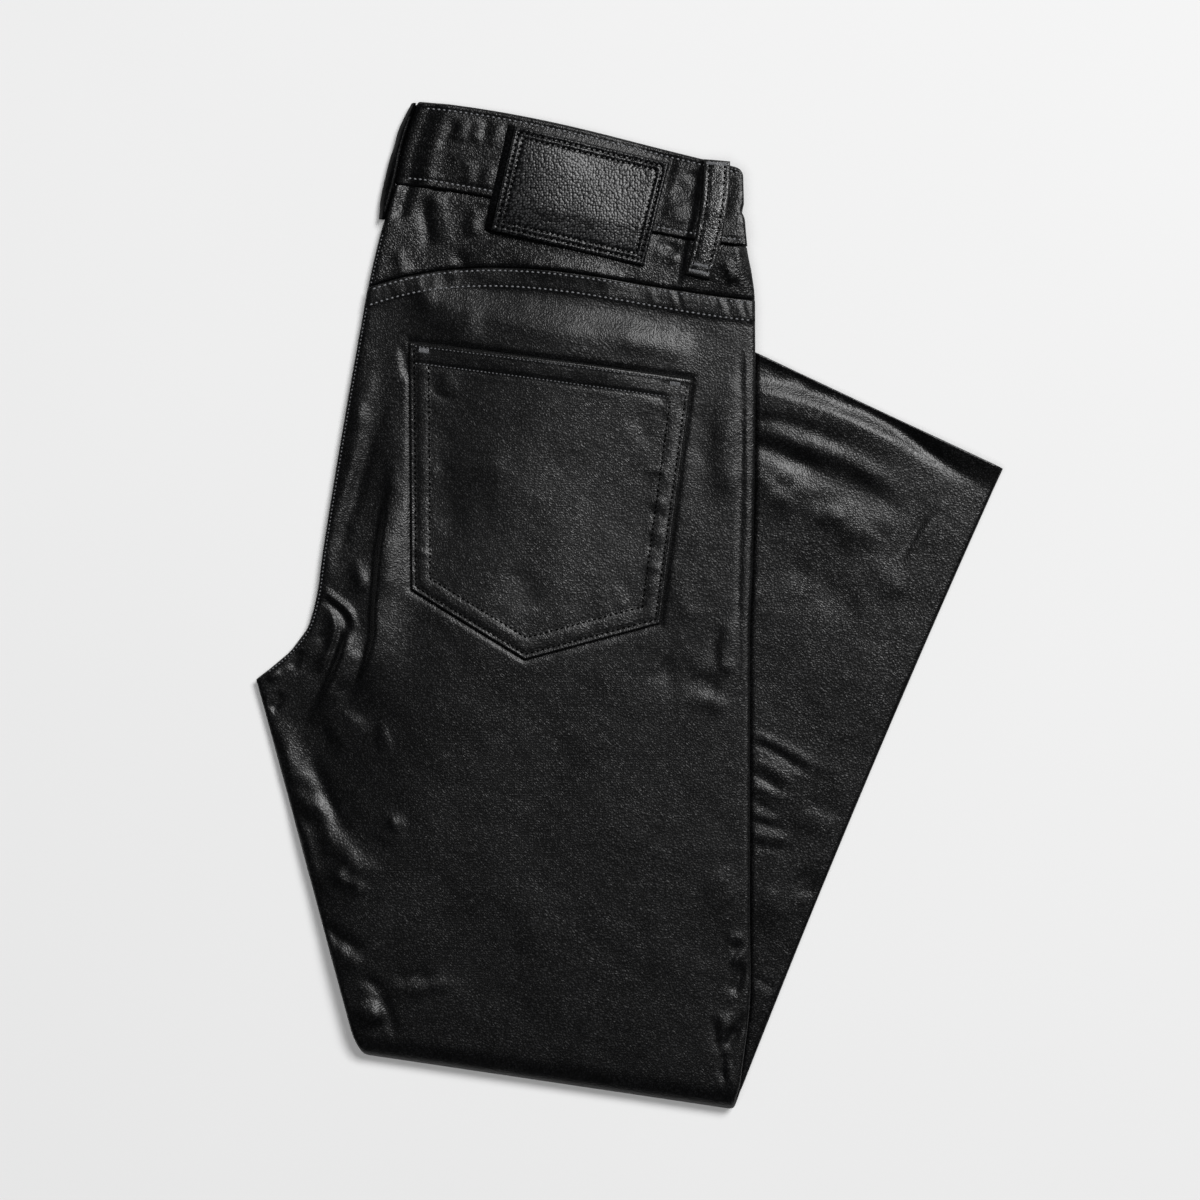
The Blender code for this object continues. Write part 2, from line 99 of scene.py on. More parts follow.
THIGH_SHARES = (0.12, 0.31, 0.54, 0.77, 1.0)
WAIST_TOP, WAIST_SEAM, YOKE_SEAM, YOKE_STITCH, CROTCH, FOLD = 0, 2, 4, 5, 13, 18

# the lower stack's seams, each a curve with a start, a guide point and an end at the hem
INSEAM = in_mm((-133.0, -212.0), (-61.0, -30.0), (-12.0, 161.0))
OUTSEAM = in_mm((57.0, -241.0), (115.8, -90.2), (187.0, 67.5))

POCKET_TOP = in_mm((-110.0, 131.0), (31.0, 112.0))
POCKET_BOTTOM = in_mm((-109.0, 7.0), (-52.0, -28.0), (15.0, -10.0))
POCKET_HEM = 10.5 * MM

# a strip's two top corners, its two bottom ones, and how far its middle bows to the right
Strip = namedtuple("Strip", "top bottom bow")
PATCH = Strip(in_mm((-57.0, 238.0), (20.0, 220.0)), in_mm((-69.0, 186.0), (7.0, 168.0)), 0.0)
SIDE_LOOP = Strip(in_mm((37.0, 221.3), (50.0, 220.0)), in_mm((27.5, 164.0), (40.0, 161.0)), 2.4 * MM)
BACK_LOOP = Strip(in_mm((-60.6, 239.3), (-47.9, 236.8)), in_mm((-72.7, 186.6), (-60.2, 183.6)), 0.0)

# ---- sizes of the looks ----

EDGE_REACH = 2.8 * MM        # width of the rounding along the side seams
EDGE_DROP = 1.5 * MM
EDGE_OFFSETS = in_mm(0.0, 0.06, 0.22, 0.5, 0.95, 1.6, 2.5, 3.7)
FOLDED_OFFSETS = in_mm(0.0, 0.06, 0.2, 0.45, 0.8, 1.2)
FOLDED_EDGE = 1.2 * MM       # reach of the rounding along a folded cloth edge
LEG_PITCH = 1.25 * MM        # spacing of the points that show
TRIM_PITCH = 1.0 * MM
HIDDEN_PITCH = 4.5 * MM
CORE_PITCH = 3.2 * MM
INNER_STEP = 3               # the inner face of a shell has every third point
BAND_SLOPE = 2.2 * MM        # the waistband slopes down towards its roll at the centre back
BAND_SLOPE_LENGTH = 12.0 * MM
FOLD_BELLY = 0.9 * MM        # the cloth bellies out at the knee fold
FOLD_TUCK = 1.9 * MM         # its right end is drawn in
BAND_EDGE = 0.45 * MM        # the waistband's thick top edge stands above its stitch row
POCKET_PULL = 0.8 * MM       # the leg is pulled in along the pocket's edges
MOUTH_PULL = 1.2 * MM        # and further under its mouth
BAND_CORNER = 4.2 * MM       # radius of the waistband's top corner at its right end
BAND_NOTCH = 1.3 * MM        # its side is drawn in at a fold,
NOTCH_PLACE = 22.5 * MM      # this far below its top
TUCK_DEPTH = 1.2 * MM        # the lower leg is pressed down along the upper one's edge
TUCK_WIDTH = 1.3 * MM
SIDE_RISE = 5.0 * MM         # the waist's right end stands up on the bulk of its side seam
MOUTH_ROLL = 0.5 * MM        # the pocket's folded top edge stands proud
FELL_PUCKER = 0.34 * MM
FELL_PUCKERS = ((-97, 13), (18, 10), (53, 9))    # middle and half-length of its puckered stretches in x
CREASE_UNEVEN = 0.5          # how much a crease's height varies along it
SHARP_ANGLE = 78.0           # edges that turn by more degrees aren't shaded smooth
FLARE_LENGTH = 385 * MM      # the flared leg, from the fold to its hem
HIDDEN_LENGTH = 380 * MM     # the hidden layers below it

STITCH_PITCH = 2.75 * MM
STITCH_LENGTH = 1.6 * MM
THREAD_RADIUS = 0.46 * MM
SIDE_PITCH = 1.95 * MM       # the finer stitches of the seat seam, the yoke's side and the pocket's mouth
SIDE_LENGTH = 1.15 * MM
SIDE_RADIUS = 0.36 * MM
POCKET_STITCH = 1.7 * MM
TACK_HALF = 1.6 * MM         # half the length of a stitch in the pocket's bartacks
LOOP_TACK_HALF = 1.0 * MM
TACK_RADIUS = 0.26 * MM
SEAM_GROOVE = 0.22 * MM
SEAM_GROOVE_WIDTH = 1.1 * MM


# ---- small mathematics ----

def smooth(value):
    value = np.clip(value, 0.0, 1.0)
    return value * value * (3.0 - 2.0 * value)


def between(first, second, share):
    return first + (second - first) * share


def rounding(distance, reach, drop):
    """How far a rounded edge has come down at a distance inwards from it."""
    depth = 1.0 - np.clip(distance / reach, 0.0, 1.0)
    return drop * (1.0 - np.sqrt(1.0 - depth * depth))


def noise(x, y, size, seed):
    """Smooth seeded noise from -1 to 1 with bumps of about that size."""
    lattice = np.random.RandomState(seed).uniform(-1.0, 1.0, (64, 64))
    u, v = np.asarray(x) / size, np.asarray(y) / size
    i, j = np.floor(u).astype(int), np.floor(v).astype(int)
    across, along = smooth(u - i), smooth(v - j)
    near = between(lattice[i % 64, j % 64], lattice[(i + 1) % 64, j % 64], across)
    far = between(lattice[i % 64, (j + 1) % 64], lattice[(i + 1) % 64, (j + 1) % 64], across)
    return between(near, far, along)


def smooth_line(points, steps=5):
    """A curve through the given points."""
    points = np.array(points, float)
    if len(points) == 2:
        return points
    ends = np.vstack((2 * points[0] - points[1], points, 2 * points[-1] - points[-2]))
    line = []
    for i in range(1, len(ends) - 2):
        for t in np.arange(steps) / steps:
            a, b, c, d = ends[i - 1:i + 3]
            line.append(0.5 * (2 * b + (c - a) * t + (2 * a - 5 * b + 4 * c - d) * t ** 2
                               + (3 * b - a - 3 * c + d) * t ** 3))
    line.append(points[-1])
    return np.array(line)


def close_to(line, x, y, margin):
    """Which points lie in the box round a line, widened by a margin."""
    low, high = line.min(axis=0) - margin, line.max(axis=0) + margin
    return (x > low[0]) & (x < high[0]) & (y > low[1]) & (y < high[1])


def fading_ends(share):
    """1 along the middle of a line, coming down to 0 at both ends."""
    return smooth(share / 0.3) * smooth((1.0 - share) / 0.3)


def nearest(line, x, y):
    """Each point's distance from a line in plan, the line's share there, and 1 left or -1 right of it."""
    best = np.full(x.shape, np.inf)
    share, side = np.zeros(x.shape), np.zeros(x.shape)
    for i in range(len(line) - 1):
        start, step = line[i], line[i + 1] - line[i]
        t = np.clip(((x - start[0]) * step[0] + (y - start[1]) * step[1]) / (step @ step), 0.0, 1.0)
        square = (x - start[0] - t * step[0]) ** 2 + (y - start[1] - t * step[1]) ** 2
        closer = square < best
        best = np.where(closer, square, best)
        share = np.where(closer, (i + t) / (len(line) - 1), share)
        turn = step[0] * (y - start[1]) - step[1] * (x - start[0])
        side = np.where(closer, np.where(turn > 0.0, 1.0, -1.0), side)
    return np.sqrt(best), share, side


# ---- plans of the two stacks ----

def along_seam(seam, share):
    share = np.asarray(share, float)[..., None]
    return between(between(seam[0], seam[1], share), between(seam[1], seam[2], share), share)


def upper_rows():
    """The rows of the upper stack, from the waist to the knee fold."""
    rows, flat = list(WAIST_ROWS), (0.0, 0.0)
    for share, bows in zip(HIP_SHARES, HIP_BOWS):
        rows.append(np.concatenate((along_seam(SEAT_SEAM, share), along_seam(HIP_SIDE, share), bows)))
    for step in range(1, CROTCH_STEPS + 1):
        share = step / CROTCH_STEPS
        ends = along_seam(CROTCH_CURVE, share), between(HIP_SIDE[2], CROTCH_SIDE, share)
        rows.append(np.concatenate((*ends, flat)))
    for share in THIGH_SHARES:
        ends = between(CROTCH_CURVE[2], FOLD_LEFT, share), between(CROTCH_SIDE, FOLD_RIGHT, share)
        rows.append(np.concatenate((*ends, flat)))
    rows[FOLD][2] -= FOLD_DRAWN_IN
    return np.array(rows)


ROWS = upper_rows()


def row_slopes():
    """Each row's change for a length along the middle of the leg, before and after the row."""
    middles = (ROWS[:, :2] + ROWS[:, 2:4]) / 2.0
    lengths = np.linalg.norm(np.diff(middles, axis=0), axis=1)
    steps = np.diff(ROWS, axis=0) / lengths[:, None]
    before, after = np.vstack((steps[:1], steps)), np.vstack((steps, steps[-1:]))
    for i in range(1, FOLD):
        if i != CROTCH:
            weight = lengths[i - 1] / (lengths[i - 1] + lengths[i])
            before[i] = after[i] = between(steps[i - 1], steps[i], weight)
    return lengths, before, after


ROW_LENGTHS, SLOPES_BEFORE, SLOPES_AFTER = row_slopes()
ALONG_ROWS = np.concatenate(((0.0,), np.cumsum(ROW_LENGTHS)))


def along(position):
    """Length down the leg at a row position, from the top of the waistband."""
    return np.interp(position, np.arange(len(ROWS)), ALONG_ROWS)


def position_at(length):
    return np.interp(length, ALONG_ROWS, np.arange(len(ROWS)))


def shifted(position, length):
    return position_at(along(position) + length)


def row_at(position):
    """The row at any position: a smooth blend of its neighbours, with the crotch kept as a corner."""
    position = np.clip(np.asarray(position, float), 0.0, FOLD)
    index = np.minimum(position.astype(int), FOLD - 1)
    t = (position - index)[..., None]
    length = ROW_LENGTHS[index][..., None]
    leaving, arriving = SLOPES_AFTER[index] * length, SLOPES_BEFORE[index + 1] * length
    return ((2 * t ** 3 - 3 * t ** 2 + 1) * ROWS[index] + (t ** 3 - 2 * t ** 2 + t) * leaving
            + (3 * t ** 2 - 2 * t ** 3) * ROWS[index + 1] + (t ** 3 - t ** 2) * arriving)


def upper_plan(position, share):
    row = row_at(position)
    x = between(row[..., 0], row[..., 2], share)
    y = between(row[..., 1], row[..., 3], share)
    bulge = 13.5 * share * (1.0 - share)        # a cubic through both bows
    return x, y + bulge * (row[..., 4] * (2 / 3 - share) + row[..., 5] * (share - 1 / 3))


def upper_width(position):
    row = row_at(position)
    return np.hypot(row[..., 2] - row[..., 0], row[..., 3] - row[..., 1])


def lower_plan(position, share):
    left, right = along_seam(INSEAM, position), along_seam(OUTSEAM, position)
    return between(left[..., 0], right[..., 0], share), between(left[..., 1], right[..., 1], share)


def lower_width(position):
    return np.linalg.norm(along_seam(OUTSEAM, position) - along_seam(INSEAM, position), axis=-1)


def fold_ends(angle):
    """The ends of the fold's line at an angle of its roll, before it is pushed outwards."""
    angle = np.asarray(angle, float)[..., None]
    passed = (1.0 - np.cos(angle)) / 2.0
    direction = ROWS[FOLD][2:4] - ROWS[FOLD][0:2]
    direction = direction / np.linalg.norm(direction)
    left = between(ROWS[FOLD][0:2], INSEAM[0], passed) + FOLD_CORNER * np.sin(angle) * direction
    right = between(ROWS[FOLD][2:4], OUTSEAM[0], passed) - FOLD_TUCK * np.sin(angle) * direction
    return left, right, np.array((direction[1], -direction[0]))


def fold_plan(angle, share, reach):
    left, right, outward = fold_ends(angle)
    out = reach * np.sin(angle)
    x = between(left[..., 0], right[..., 0], share) + outward[0] * out
    return x, between(left[..., 1], right[..., 1], share) + outward[1] * out


def fold_width(angle):
    left, right, _ = fold_ends(angle)
    return np.linalg.norm(right - left, axis=-1)


def inseam_x(y):
    """The hidden inseam's x at a given y, held beyond its ends."""
    start, guide, end = INSEAM[:, 1]
    a, b, c = start - 2 * guide + end, 2 * (guide - start), start - np.clip(y, start, end)
    share = (-b + np.sqrt(b * b - 4 * a * c)) / (2 * a)
    return along_seam(INSEAM, share)[..., 0]


def hem_normal():
    """Unit plan vector along the leg, out of the hem."""
    edge = OUTSEAM[2] - INSEAM[2]
    return np.array((-edge[1], edge[0])) / np.linalg.norm(edge)


def resting_height(x, y):
    """What the upper stack rests on: the lower stack, then a ramp down to the table beyond its edges."""
    normal = hem_normal()
    past_hem = np.maximum((x - OUTSEAM[2][0]) * normal[0] + (y - OUTSEAM[2][1]) * normal[1], 0.0)
    past_inseam = np.maximum(inseam_x(y) - x, 0.0)
    beyond = np.hypot(past_hem, past_inseam)
    return (STACK + GAP) * (1.0 - smooth((beyond - DRAPE_START) / DRAPE_LENGTH))


# ---- creases: height, half-width, and points in plan, all in millimetres ----
# A height above 0 is a ridge, and one below 0 a trough.

WAISTBAND_CREASES = (
    (0.58, 3.6, ((-82, 243), (-84, 236), (-86, 230))),
    (0.51, 3.0, ((-74, 242), (-76, 235), (-78, 229))),
    (0.72, 3.2, ((-65, 241), (-67, 234), (-70, 227))),
    (0.58, 3.6, ((-78, 222), (-80, 215), (-83, 208))),
    (0.58, 3.2, ((-69, 220), (-71, 212), (-73, 206))),
    (-0.72, 2.8, ((-87, 243), (-89, 237), (-92, 231), (-93, 225))),
    (-0.43, 2.4, ((-71, 243), (-72, 238), (-74, 232))),
    (-0.58, 4.0, ((-90, 226), (-93, 219), (-97, 213))),
    (1.01, 4.4, ((23, 200), (25, 194), (27, 188))),
    (-1.01, 4.0, ((22, 210), (28, 205), (34, 202))),
    (-0.72, 3.4, ((31, 217), (32, 211), (34, 204))),
    (-0.72, 3.4, ((50, 216), (50, 208), (49, 200), (48, 190))),
    (0.9, 3.2, ((61, 218), (60, 208), (60, 198))),
    (-0.6, 2.4, ((46, 206), (46.5, 198), (46, 189))),
)
YOKE_CREASES = (
    (-1.22, 3.4, ((-108, 216), (-111, 208), (-114, 199), (-117, 190))),
    (-1.22, 3.2, ((-99, 203), (-103, 196), (-101, 186), (-103, 173))),
    (1.08, 4.2, ((-98, 208), (-95, 198), (-93, 189), (-94, 178))),
    (0.94, 3.6, ((-76, 199), (-78, 191), (-80, 182))),
    (0.94, 3.2, ((-116, 178), (-114, 169), (-112, 161))),
    (1.08, 4.6, ((-64, 170), (-42, 168), (-18, 164), (2, 160))),
    (-0.94, 2.8, ((10, 182), (17, 179), (26, 175))),
    (0.68, 3.0, ((9, 176), (18, 173), (26, 170))),
    (-0.68, 3.6, ((-88, 178), (-84, 170), (-83, 164))),
    (0.81, 3.0, ((46, 172), (50, 165), (52, 158))),
)
SEAT_CREASES = (
    (0.8, 4.0, ((-127, 128), (-130, 115), (-134, 100), (-136, 85), (-140, 68), (-144, 50), (-148, 38),
                (-150, 22))),
    (-0.8, 4.0, ((-124, 112), (-126, 95), (-130, 80), (-134, 65), (-139, 50), (-143, 35), (-146, 25),
                 (-148, 15))),
    (0.8, 5.5, ((-118, 100), (-117, 70), (-117, 45), (-121, 15), (-122, 0))),
    (-0.9, 2.2, ((-114, 132), (-112.5, 121), (-111.5, 110))),
    (0.6, 3.0, ((-138, 24), (-135, 15), (-132, 7))),
    (1.1, 8.0, ((-114, 162), (-99, 150), (-86, 139), (-73, 127))),
    (0.5, 7.0, ((-16, 136), (4, 133), (22, 129), (34, 123))),
)
CROTCH_CREASES = (
    (1.2, 1.7, ((-155, 7), (-151, 4.5), (-146.6, 1.5), (-140.5, -3.6), (-138, -9.5), (-138, -15))),
    (-0.8, 1.7, ((-154, 2.5), (-150.5, 0.5), (-144.5, -4.5), (-141.5, -10), (-141.5, -16))),
    (0.7, 5.0, ((-136, 20), (-134, 12), (-133, 4))),
    (0.6, 5.0, ((-136, -22), (-139, -32), (-145, -44))),
    (-0.7, 3.0, ((-154, -13), (-152.5, -20), (-154, -26))),
    (-0.8, 2.6, ((-165, -22), (-167, -28), (-169, -34))),
    (-0.7, 2.4, ((-173, -44), (-176, -50), (-180, -54))),
    (0.6, 2.4, ((-181, -39), (-178, -36), (-174, -35))),
    (0.9, 6.5, ((-152, -68), (-145, -64), (-139, -60), (-135, -54))),
    (0.6, 6.0, ((-127, -67), (-123, -67), (-119, -66))),
    (0.7, 3.6, ((-121, -109), (-116, -109), (-111, -109))),
)
# places where the cloth laps over itself: height, width of the steep side, reach of the slope behind, points
UPPER_OVERLAPS = (
    (3.2, 2.1, 13.0, ((-120, 66), (-122, 52), (-124, 38), (-126.2, 24), (-127.5, 9), (-128.5, -5),
                      (-128.6, -15),
                      (-132, -29), (-136.5, -41), (-142, -53))),
    (2.7, 9.0, 70.0, ((50, 127), (24, 131), (-8, 138), (-36, 142.5), (-58, 147), (-80, 153), (-104, 161),
                      (-128, 170))),
    (1.6, 1.7, 60.0, ((39, 236), (37, 222), (34.4, 205), (31.4, 190), (28.4, 176), (26, 162), (23.5, 146))),
    (2.5, 2.3, 8.0, ((-141, -9), (-142.5, -16), (-144.5, -23), (-147, -30), (-151, -40), (-155.5, -49),
                     (-163, -60))),
    (1.3, 1.2, 5.0, ((-154, -38), (-152, -32), (-149.5, -25), (-146.8, -17), (-146, -11), (-148, -5),
                     (-152, -1))),
)
THIGH_CREASES = (
    (1.5, 8.0, ((-181, -52), (-175, -70), (-171, -88), (-167, -104), (-163, -122), (-159, -138))),
    (0.6, 8.0, ((-150, -150), (-147, -140), (-146, -126), (-150, -112))),
    (0.5, 6.0, ((-126, -120), (-120, -113), (-114, -108))),
    (1.0, 4.4, ((-172, -98), (-166, -114), (-161, -130), (-158, -142))),
    (1.2, 5.4, ((-172, -72), (-167, -82), (-161, -94), (-155, -103), (-152, -110), (-148, -118), (-143, -123),
                (-137, -130), (-128, -132), (-122, -129))),
    (-0.6, 3.4, ((-160, -72), (-156, -86), (-148, -103), (-143, -112), (-137, -118))),
    (-0.8, 3.0, ((-169, -97), (-165, -105), (-162, -113))),
    (0.6, 4.2, ((-140, -136), (-136, -141), (-133, -146))),
    (0.7, 3.6, ((-147, -132), (-144, -137), (-142, -143))),
    (-0.9, 3.6, ((-158, -158), (-148, -165), (-140, -170), (-130, -176))),
    (0.8, 6.0, ((-149, -174), (-141, -178), (-133, -182))),
    (-0.6, 3.0, ((-137, -184), (-132, -188), (-127, -191), (-124, -196), (-121, -203), (-118, -212),
                 (-116, -220))),
    (0.6, 4.2, ((-138, -190), (-132, -193), (-128, -198), (-125, -205), (-122, -213))),
    (0.4, 3.4, ((-124, -194), (-112, -193), (-98, -191), (-82, -189))),
    (-0.4, 3.4, ((-118, -187), (-108, -186), (-96, -186))),
    (1.2, 6.5, ((-137, -196), (-131, -204), (-127, -212))),
)
SIDE_CREASES = (
    (0.5, 4.4, ((27, -47), (35, -48), (43, -50), (49, -56))),
    (-0.6, 4.8, ((24, -38), (33, -40), (41, -42), (46, -45))),
    (0.7, 4.5, ((48, -38), (47, -27), (49, -15), (50, -4))),
    (-0.5, 3.0, ((43, -34), (42.5, -22), (43, -10))),
    (0.4, 8.0, ((22, 25), (27, 5), (30, -12))),
    (-0.5, 9.0, ((15, -28), (22, -34), (30, -38))),
    (0.5, 8.0, ((36, -136), (46, -143), (52, -150))),
    (0.7, 7.0, ((50, 116), (50, 95), (49, 70), (50, 45))),
    (0.25, 0.9, ((57.8, 140), (58.5, 100), (58.6, 50), (57.8, 0))),
    (-0.4, 1.6, ((54.5, 140), (55.5, 100), (55.4, 50), (54.4, 0), (54.4, -40))),
    (-0.4, 6.0, ((38, 100), (37, 70), (40, 30))),
    (0.5, 2.4, ((48, -166), (53, -166.5), (58, -167))),
    (0.6, 3.4, ((44, -202), (46, -212), (47, -222))),
    (-0.5, 2.4, ((42, -204), (43, -214), (44, -226))),
    (-0.5, 2.0, ((50, -172), (54, -172), (58, -171))),
    (0.6, 1.7, ((51, -181), (54, -176.5), (59, -170))),
    (-1.1, 2.6, ((51, -196), (54, -188), (58, -178))),
    (0.6, 5.0, ((47, -202), (50, -208), (51, -214))),
    (-0.9, 2.6, ((46, -222), (50, -217), (55, -210), (59, -202))),
    (-0.8, 1.6, ((47, -222), (46, -231), (47, -240))),
    (0.4, 1.8, ((49, -226), (50, -235), (51, -243))),
)
UPPER_CREASES = (WAISTBAND_CREASES + YOKE_CREASES + SEAT_CREASES + CROTCH_CREASES + THIGH_CREASES
                 + SIDE_CREASES)

HEM_OVERLAPS = (
    (2.3, 4.6, 26.0, ((158, 68), (138, 81), (120, 90.5), (100, 99), (80, 106), (60, 111), (40, 115))),
)
HEM_CREASES = (
    (-1.0, 3.6, ((54, 124), (75, 117), (90, 111), (110, 102), (130, 91), (150, 76), (165, 66), (180, 56))),
    (-0.55, 4.2, ((50, 95), (66, 92), (82, 88), (100, 83), (118, 77))),
    (0.95, 5.4, ((62, 88), (74, 84), (88, 79), (106, 72), (125, 63), (145, 52))),
    (-1.0, 5.2, ((50, 83), (66, 79), (84, 72), (98, 66))),
    (-0.25, 6.0, ((84, 73), (104, 64), (122, 55), (142, 47), (156, 42))),
    (0.95, 10.0, ((52, 66), (74, 58), (96, 47), (116, 38), (134, 28))),
    (0.4, 1.8, ((160, 56), (155, 47), (148, 36), (141, 26), (137, 15))),
    (-0.5, 2.6, ((151, 50), (145, 39), (139, 29), (135, 18))),
    (0.5, 6.0, ((118, 22), (128, 12), (136, 0))),
    (-0.4, 7.0, ((72, 20), (90, 14), (104, 2), (112, -14))),
)
KNEE_CREASES = (
    (0.28, 2.4, ((58, -65), (67, -67), (78, -72), (90, -79), (104, -86))),
    (-0.32, 2.0, ((58, -69.5), (67, -72), (75, -76), (84, -82), (94, -86))),
    (0.36, 2.8, ((58, -78), (66, -80.5), (72, -83), (78, -88), (83, -93))),
    (-0.26, 1.9, ((58, -83.5), (66, -87), (73, -92), (77, -97))),
    (0.28, 2.6, ((58, -90), (66, -92.5), (75, -96), (86, -100))),
    (-0.24, 2.6, ((58, -97), (64, -100), (70, -103.5))),
    (0.22, 2.2, ((58, -104), (66, -106.5), (76, -109))),
    (-0.25, 2.0, ((58, -108), (68, -110.5), (80, -113))),
    (0.25, 2.4, ((58, -115), (70, -117), (84, -119))),
    (-0.2, 2.2, ((60, -121), (70, -123), (82, -125))),
    (0.3, 5.0, ((80, -104), (94, -109), (106, -114))),
    (-0.25, 4.0, ((86, -99), (97, -103), (108, -107))),
    (0.4, 7.0, ((64, -146), (74, -152), (82, -158))),
    (-0.4, 6.0, ((84, -134), (89, -140), (90, -148))),
    (-0.45, 1.5, ((60, -186), (67, -189.5), (73, -194))),
    (0.2, 3.0, ((60, -191), (66, -195), (70, -199))),
)
LOWER_CREASES = HEM_CREASES + KNEE_CREASES

# hollows in what rests on the table, so their heights lift the cloth off it
UNDER_CREASES = (
    (0.7, 3.0, ((-150, 30), (-142, 5), (-140, -20), (-147, -45))),
    (0.6, 2.6, ((-128, 60), (-124, 30), (-126, 0), (-132, -24))),
    (0.6, 3.4, ((-168, -75), (-158, -98), (-148, -118), (-136, -131))),
    (0.5, 3.0, ((-128, -150), (-134, -172), (-130, -196))),
    (0.6, 4.0, ((-104, 215), (-107, 195), (-103, 176))),
    (0.5, 4.0, ((-70, 120), (-84, 92), (-90, 60))),
    (0.7, 4.0, ((-10, 120), (30, 104), (78, 92), (128, 74))),
    (0.6, 4.5, ((-22, 92), (20, 80), (70, 64), (120, 44))),
    (0.6, 3.0, ((148, 48), (134, 20), (118, -10))),
    (0.5, 5.0, ((-40, 20), (0, 8), (46, -8))),
    (0.6, 3.2, ((38, -60), (62, -68), (84, -82))),
    (0.5, 3.0, ((34, -84), (58, -90), (78, -100))),
    (0.5, 4.5, ((-70, -110), (-40, -122), (-8, -126))),
    (0.6, 3.0, ((20, -180), (40, -186), (62, -196))),
    (0.4, 5.0, ((-96, -186), (-60, -190), (-24, -200))),
)


def crease_height(x, y, creases):
    total = np.zeros(x.shape)
    for height, half_width, points in creases:
        line, width = smooth_line(points) * MM, half_width * MM
        near = close_to(line, x, y, 3 * width)
        if near.any():
            distance, share, _ = nearest(line, x[near], y[near])
            uneven = 1.0 + CREASE_UNEVEN * noise(x[near], y[near], 8.5 * MM, 61)
            total[near] += height * MM * uneven * fading_ends(share) * np.exp(-(distance / width) ** 2)
    return total


def overlap_height(x, y, overlaps):
    """Steps where the cloth laps over itself: raised left of each line, steep at it, easing off behind."""
    total = np.zeros(x.shape)
    for height, flank, fade, points in overlaps:
        line = smooth_line(points) * MM
        near = close_to(line, x, y, 3 * fade * MM)
        if near.any():
            distance, share, side = nearest(line, x[near], y[near])
            steep = smooth(0.5 + 0.5 * side * distance / (flank * MM))
            total[near] += height * MM * fading_ends(share) * steep * np.exp(-(distance / (fade * MM)) ** 2)
    return total


def cloth_swell(x, y, seed):
    """The unevenness of cloth that lies almost flat."""
    return (0.45 * MM * noise(x, y, 42 * MM, seed) + 0.14 * MM * noise(x, y, 17 * MM, seed + 1)
            + 0.07 * MM * noise(x, y, 6.5 * MM, seed + 2))


def patch_cover(x, y):
    """1 under the patch and 0 away from it, so that the waistband stays flat under it."""
    corners = np.vstack((PATCH.top, PATCH.bottom[::-1]))
    inside = np.full(x.shape, np.inf)
    for i in range(4):
        start, step = corners[i], corners[(i + 1) % 4] - corners[i]
        side = (step[1] * (x - start[0]) - step[0] * (y - start[1])) / np.linalg.norm(step)
        inside = np.minimum(inside, side)
    return smooth(inside / (5 * MM) + 1.0)


def side_rise(x, y):
    """How far the waist is raised, from its middle to its right end."""
    towards_side = np.clip((x - 6 * MM) / (52 * MM), 0.0, 1.1) ** 1.5
    return SIDE_RISE * towards_side * smooth((y - 150 * MM) / (30 * MM))


def upper_relief(x, y):
    """Creases of the upper stack's top layer."""
    height = crease_height(x, y, UPPER_CREASES) + overlap_height(x, y, UPPER_OVERLAPS)
    height = height + cloth_swell(x, y, 11) + side_rise(x, y)
    return height * (1.0 - 0.9 * patch_cover(x, y))


def hem_curl(x, y):
    """The hem's edge turns up, most of all at the outseam."""
    normal = hem_normal()
    inside = (OUTSEAM[2][0] - x) * normal[0] + (OUTSEAM[2][1] - y) * normal[1]
    towards_outseam = smooth((x - 120 * MM) / (60 * MM))
    reach = between(7.0, 13.0, towards_outseam) * MM
    return between(1.5, 2.6, towards_outseam) * MM * np.clip(1.0 - inside / reach, 0.0, 1.2) ** 1.5


def lower_relief(x, y):
    """Creases of the lower stack's top layer, where the upper stack doesn't lie on it."""
    height = crease_height(x, y, LOWER_CREASES) + overlap_height(x, y, HEM_OVERLAPS)
    height = height + cloth_swell(x, y, 31) + hem_curl(x, y)
    past = x - np.interp(y, ROWS[::-1, 3], ROWS[::-1, 2])
    tucked = TUCK_DEPTH * (1.0 - smooth(past / TUCK_WIDTH)) * smooth(past / (4 * MM) + 2.0)
    return height * smooth((x - 54 * MM) / (8 * MM)) - tucked


def under_relief(x, y):
    """Hollows in the cloth that rests on the table."""
    return crease_height(x, y, UNDER_CREASES) + 0.12 * MM * (1.0 + noise(x, y, 14 * MM, 51))


# ---- points of the layers ----

def squeezed(level, height, edge_distance):
    """A level brought towards the stack's middle near its side seams, which rounds the stack's edges."""
    middle = height / 2.0
    return middle + (level - middle) * (1.0 - rounding(edge_distance, EDGE_REACH, EDGE_DROP) / middle)


def spread(widths, pitch, offsets=EDGE_OFFSETS, gather=0.0):
    """Shares across rows of the given widths: closer together near both edges, and gathered towards them."""
    widths = np.atleast_1d(widths)[:, None]
    count = int(round(float(widths.mean() - 2 * offsets[-1]) / pitch))
    even = np.arange(1, count) / count
    even = even - gather * np.sin(2 * np.pi * even) / (2 * np.pi)
    middle = offsets[-1] + even[None, :] * (widths - 2 * offsets[-1])
    near = np.repeat(offsets[None, :], len(widths), axis=0)
    return np.hstack((near, middle, widths - near[:, ::-1])) / widths


def down_rows(first, last, pitch, offsets=()):
    """Row positions between two, at an even pitch, closer together at the first."""
    start, end = along(first), along(last)
    near = start + np.asarray(offsets, float)
    rest = np.arange(near[-1] + pitch if len(near) else start, end - pitch / 2, pitch)
    return position_at(np.concatenate((near, rest, (end,))))


def edge_distances(shares, widths):
    return np.minimum(shares, 1.0 - shares) * widths


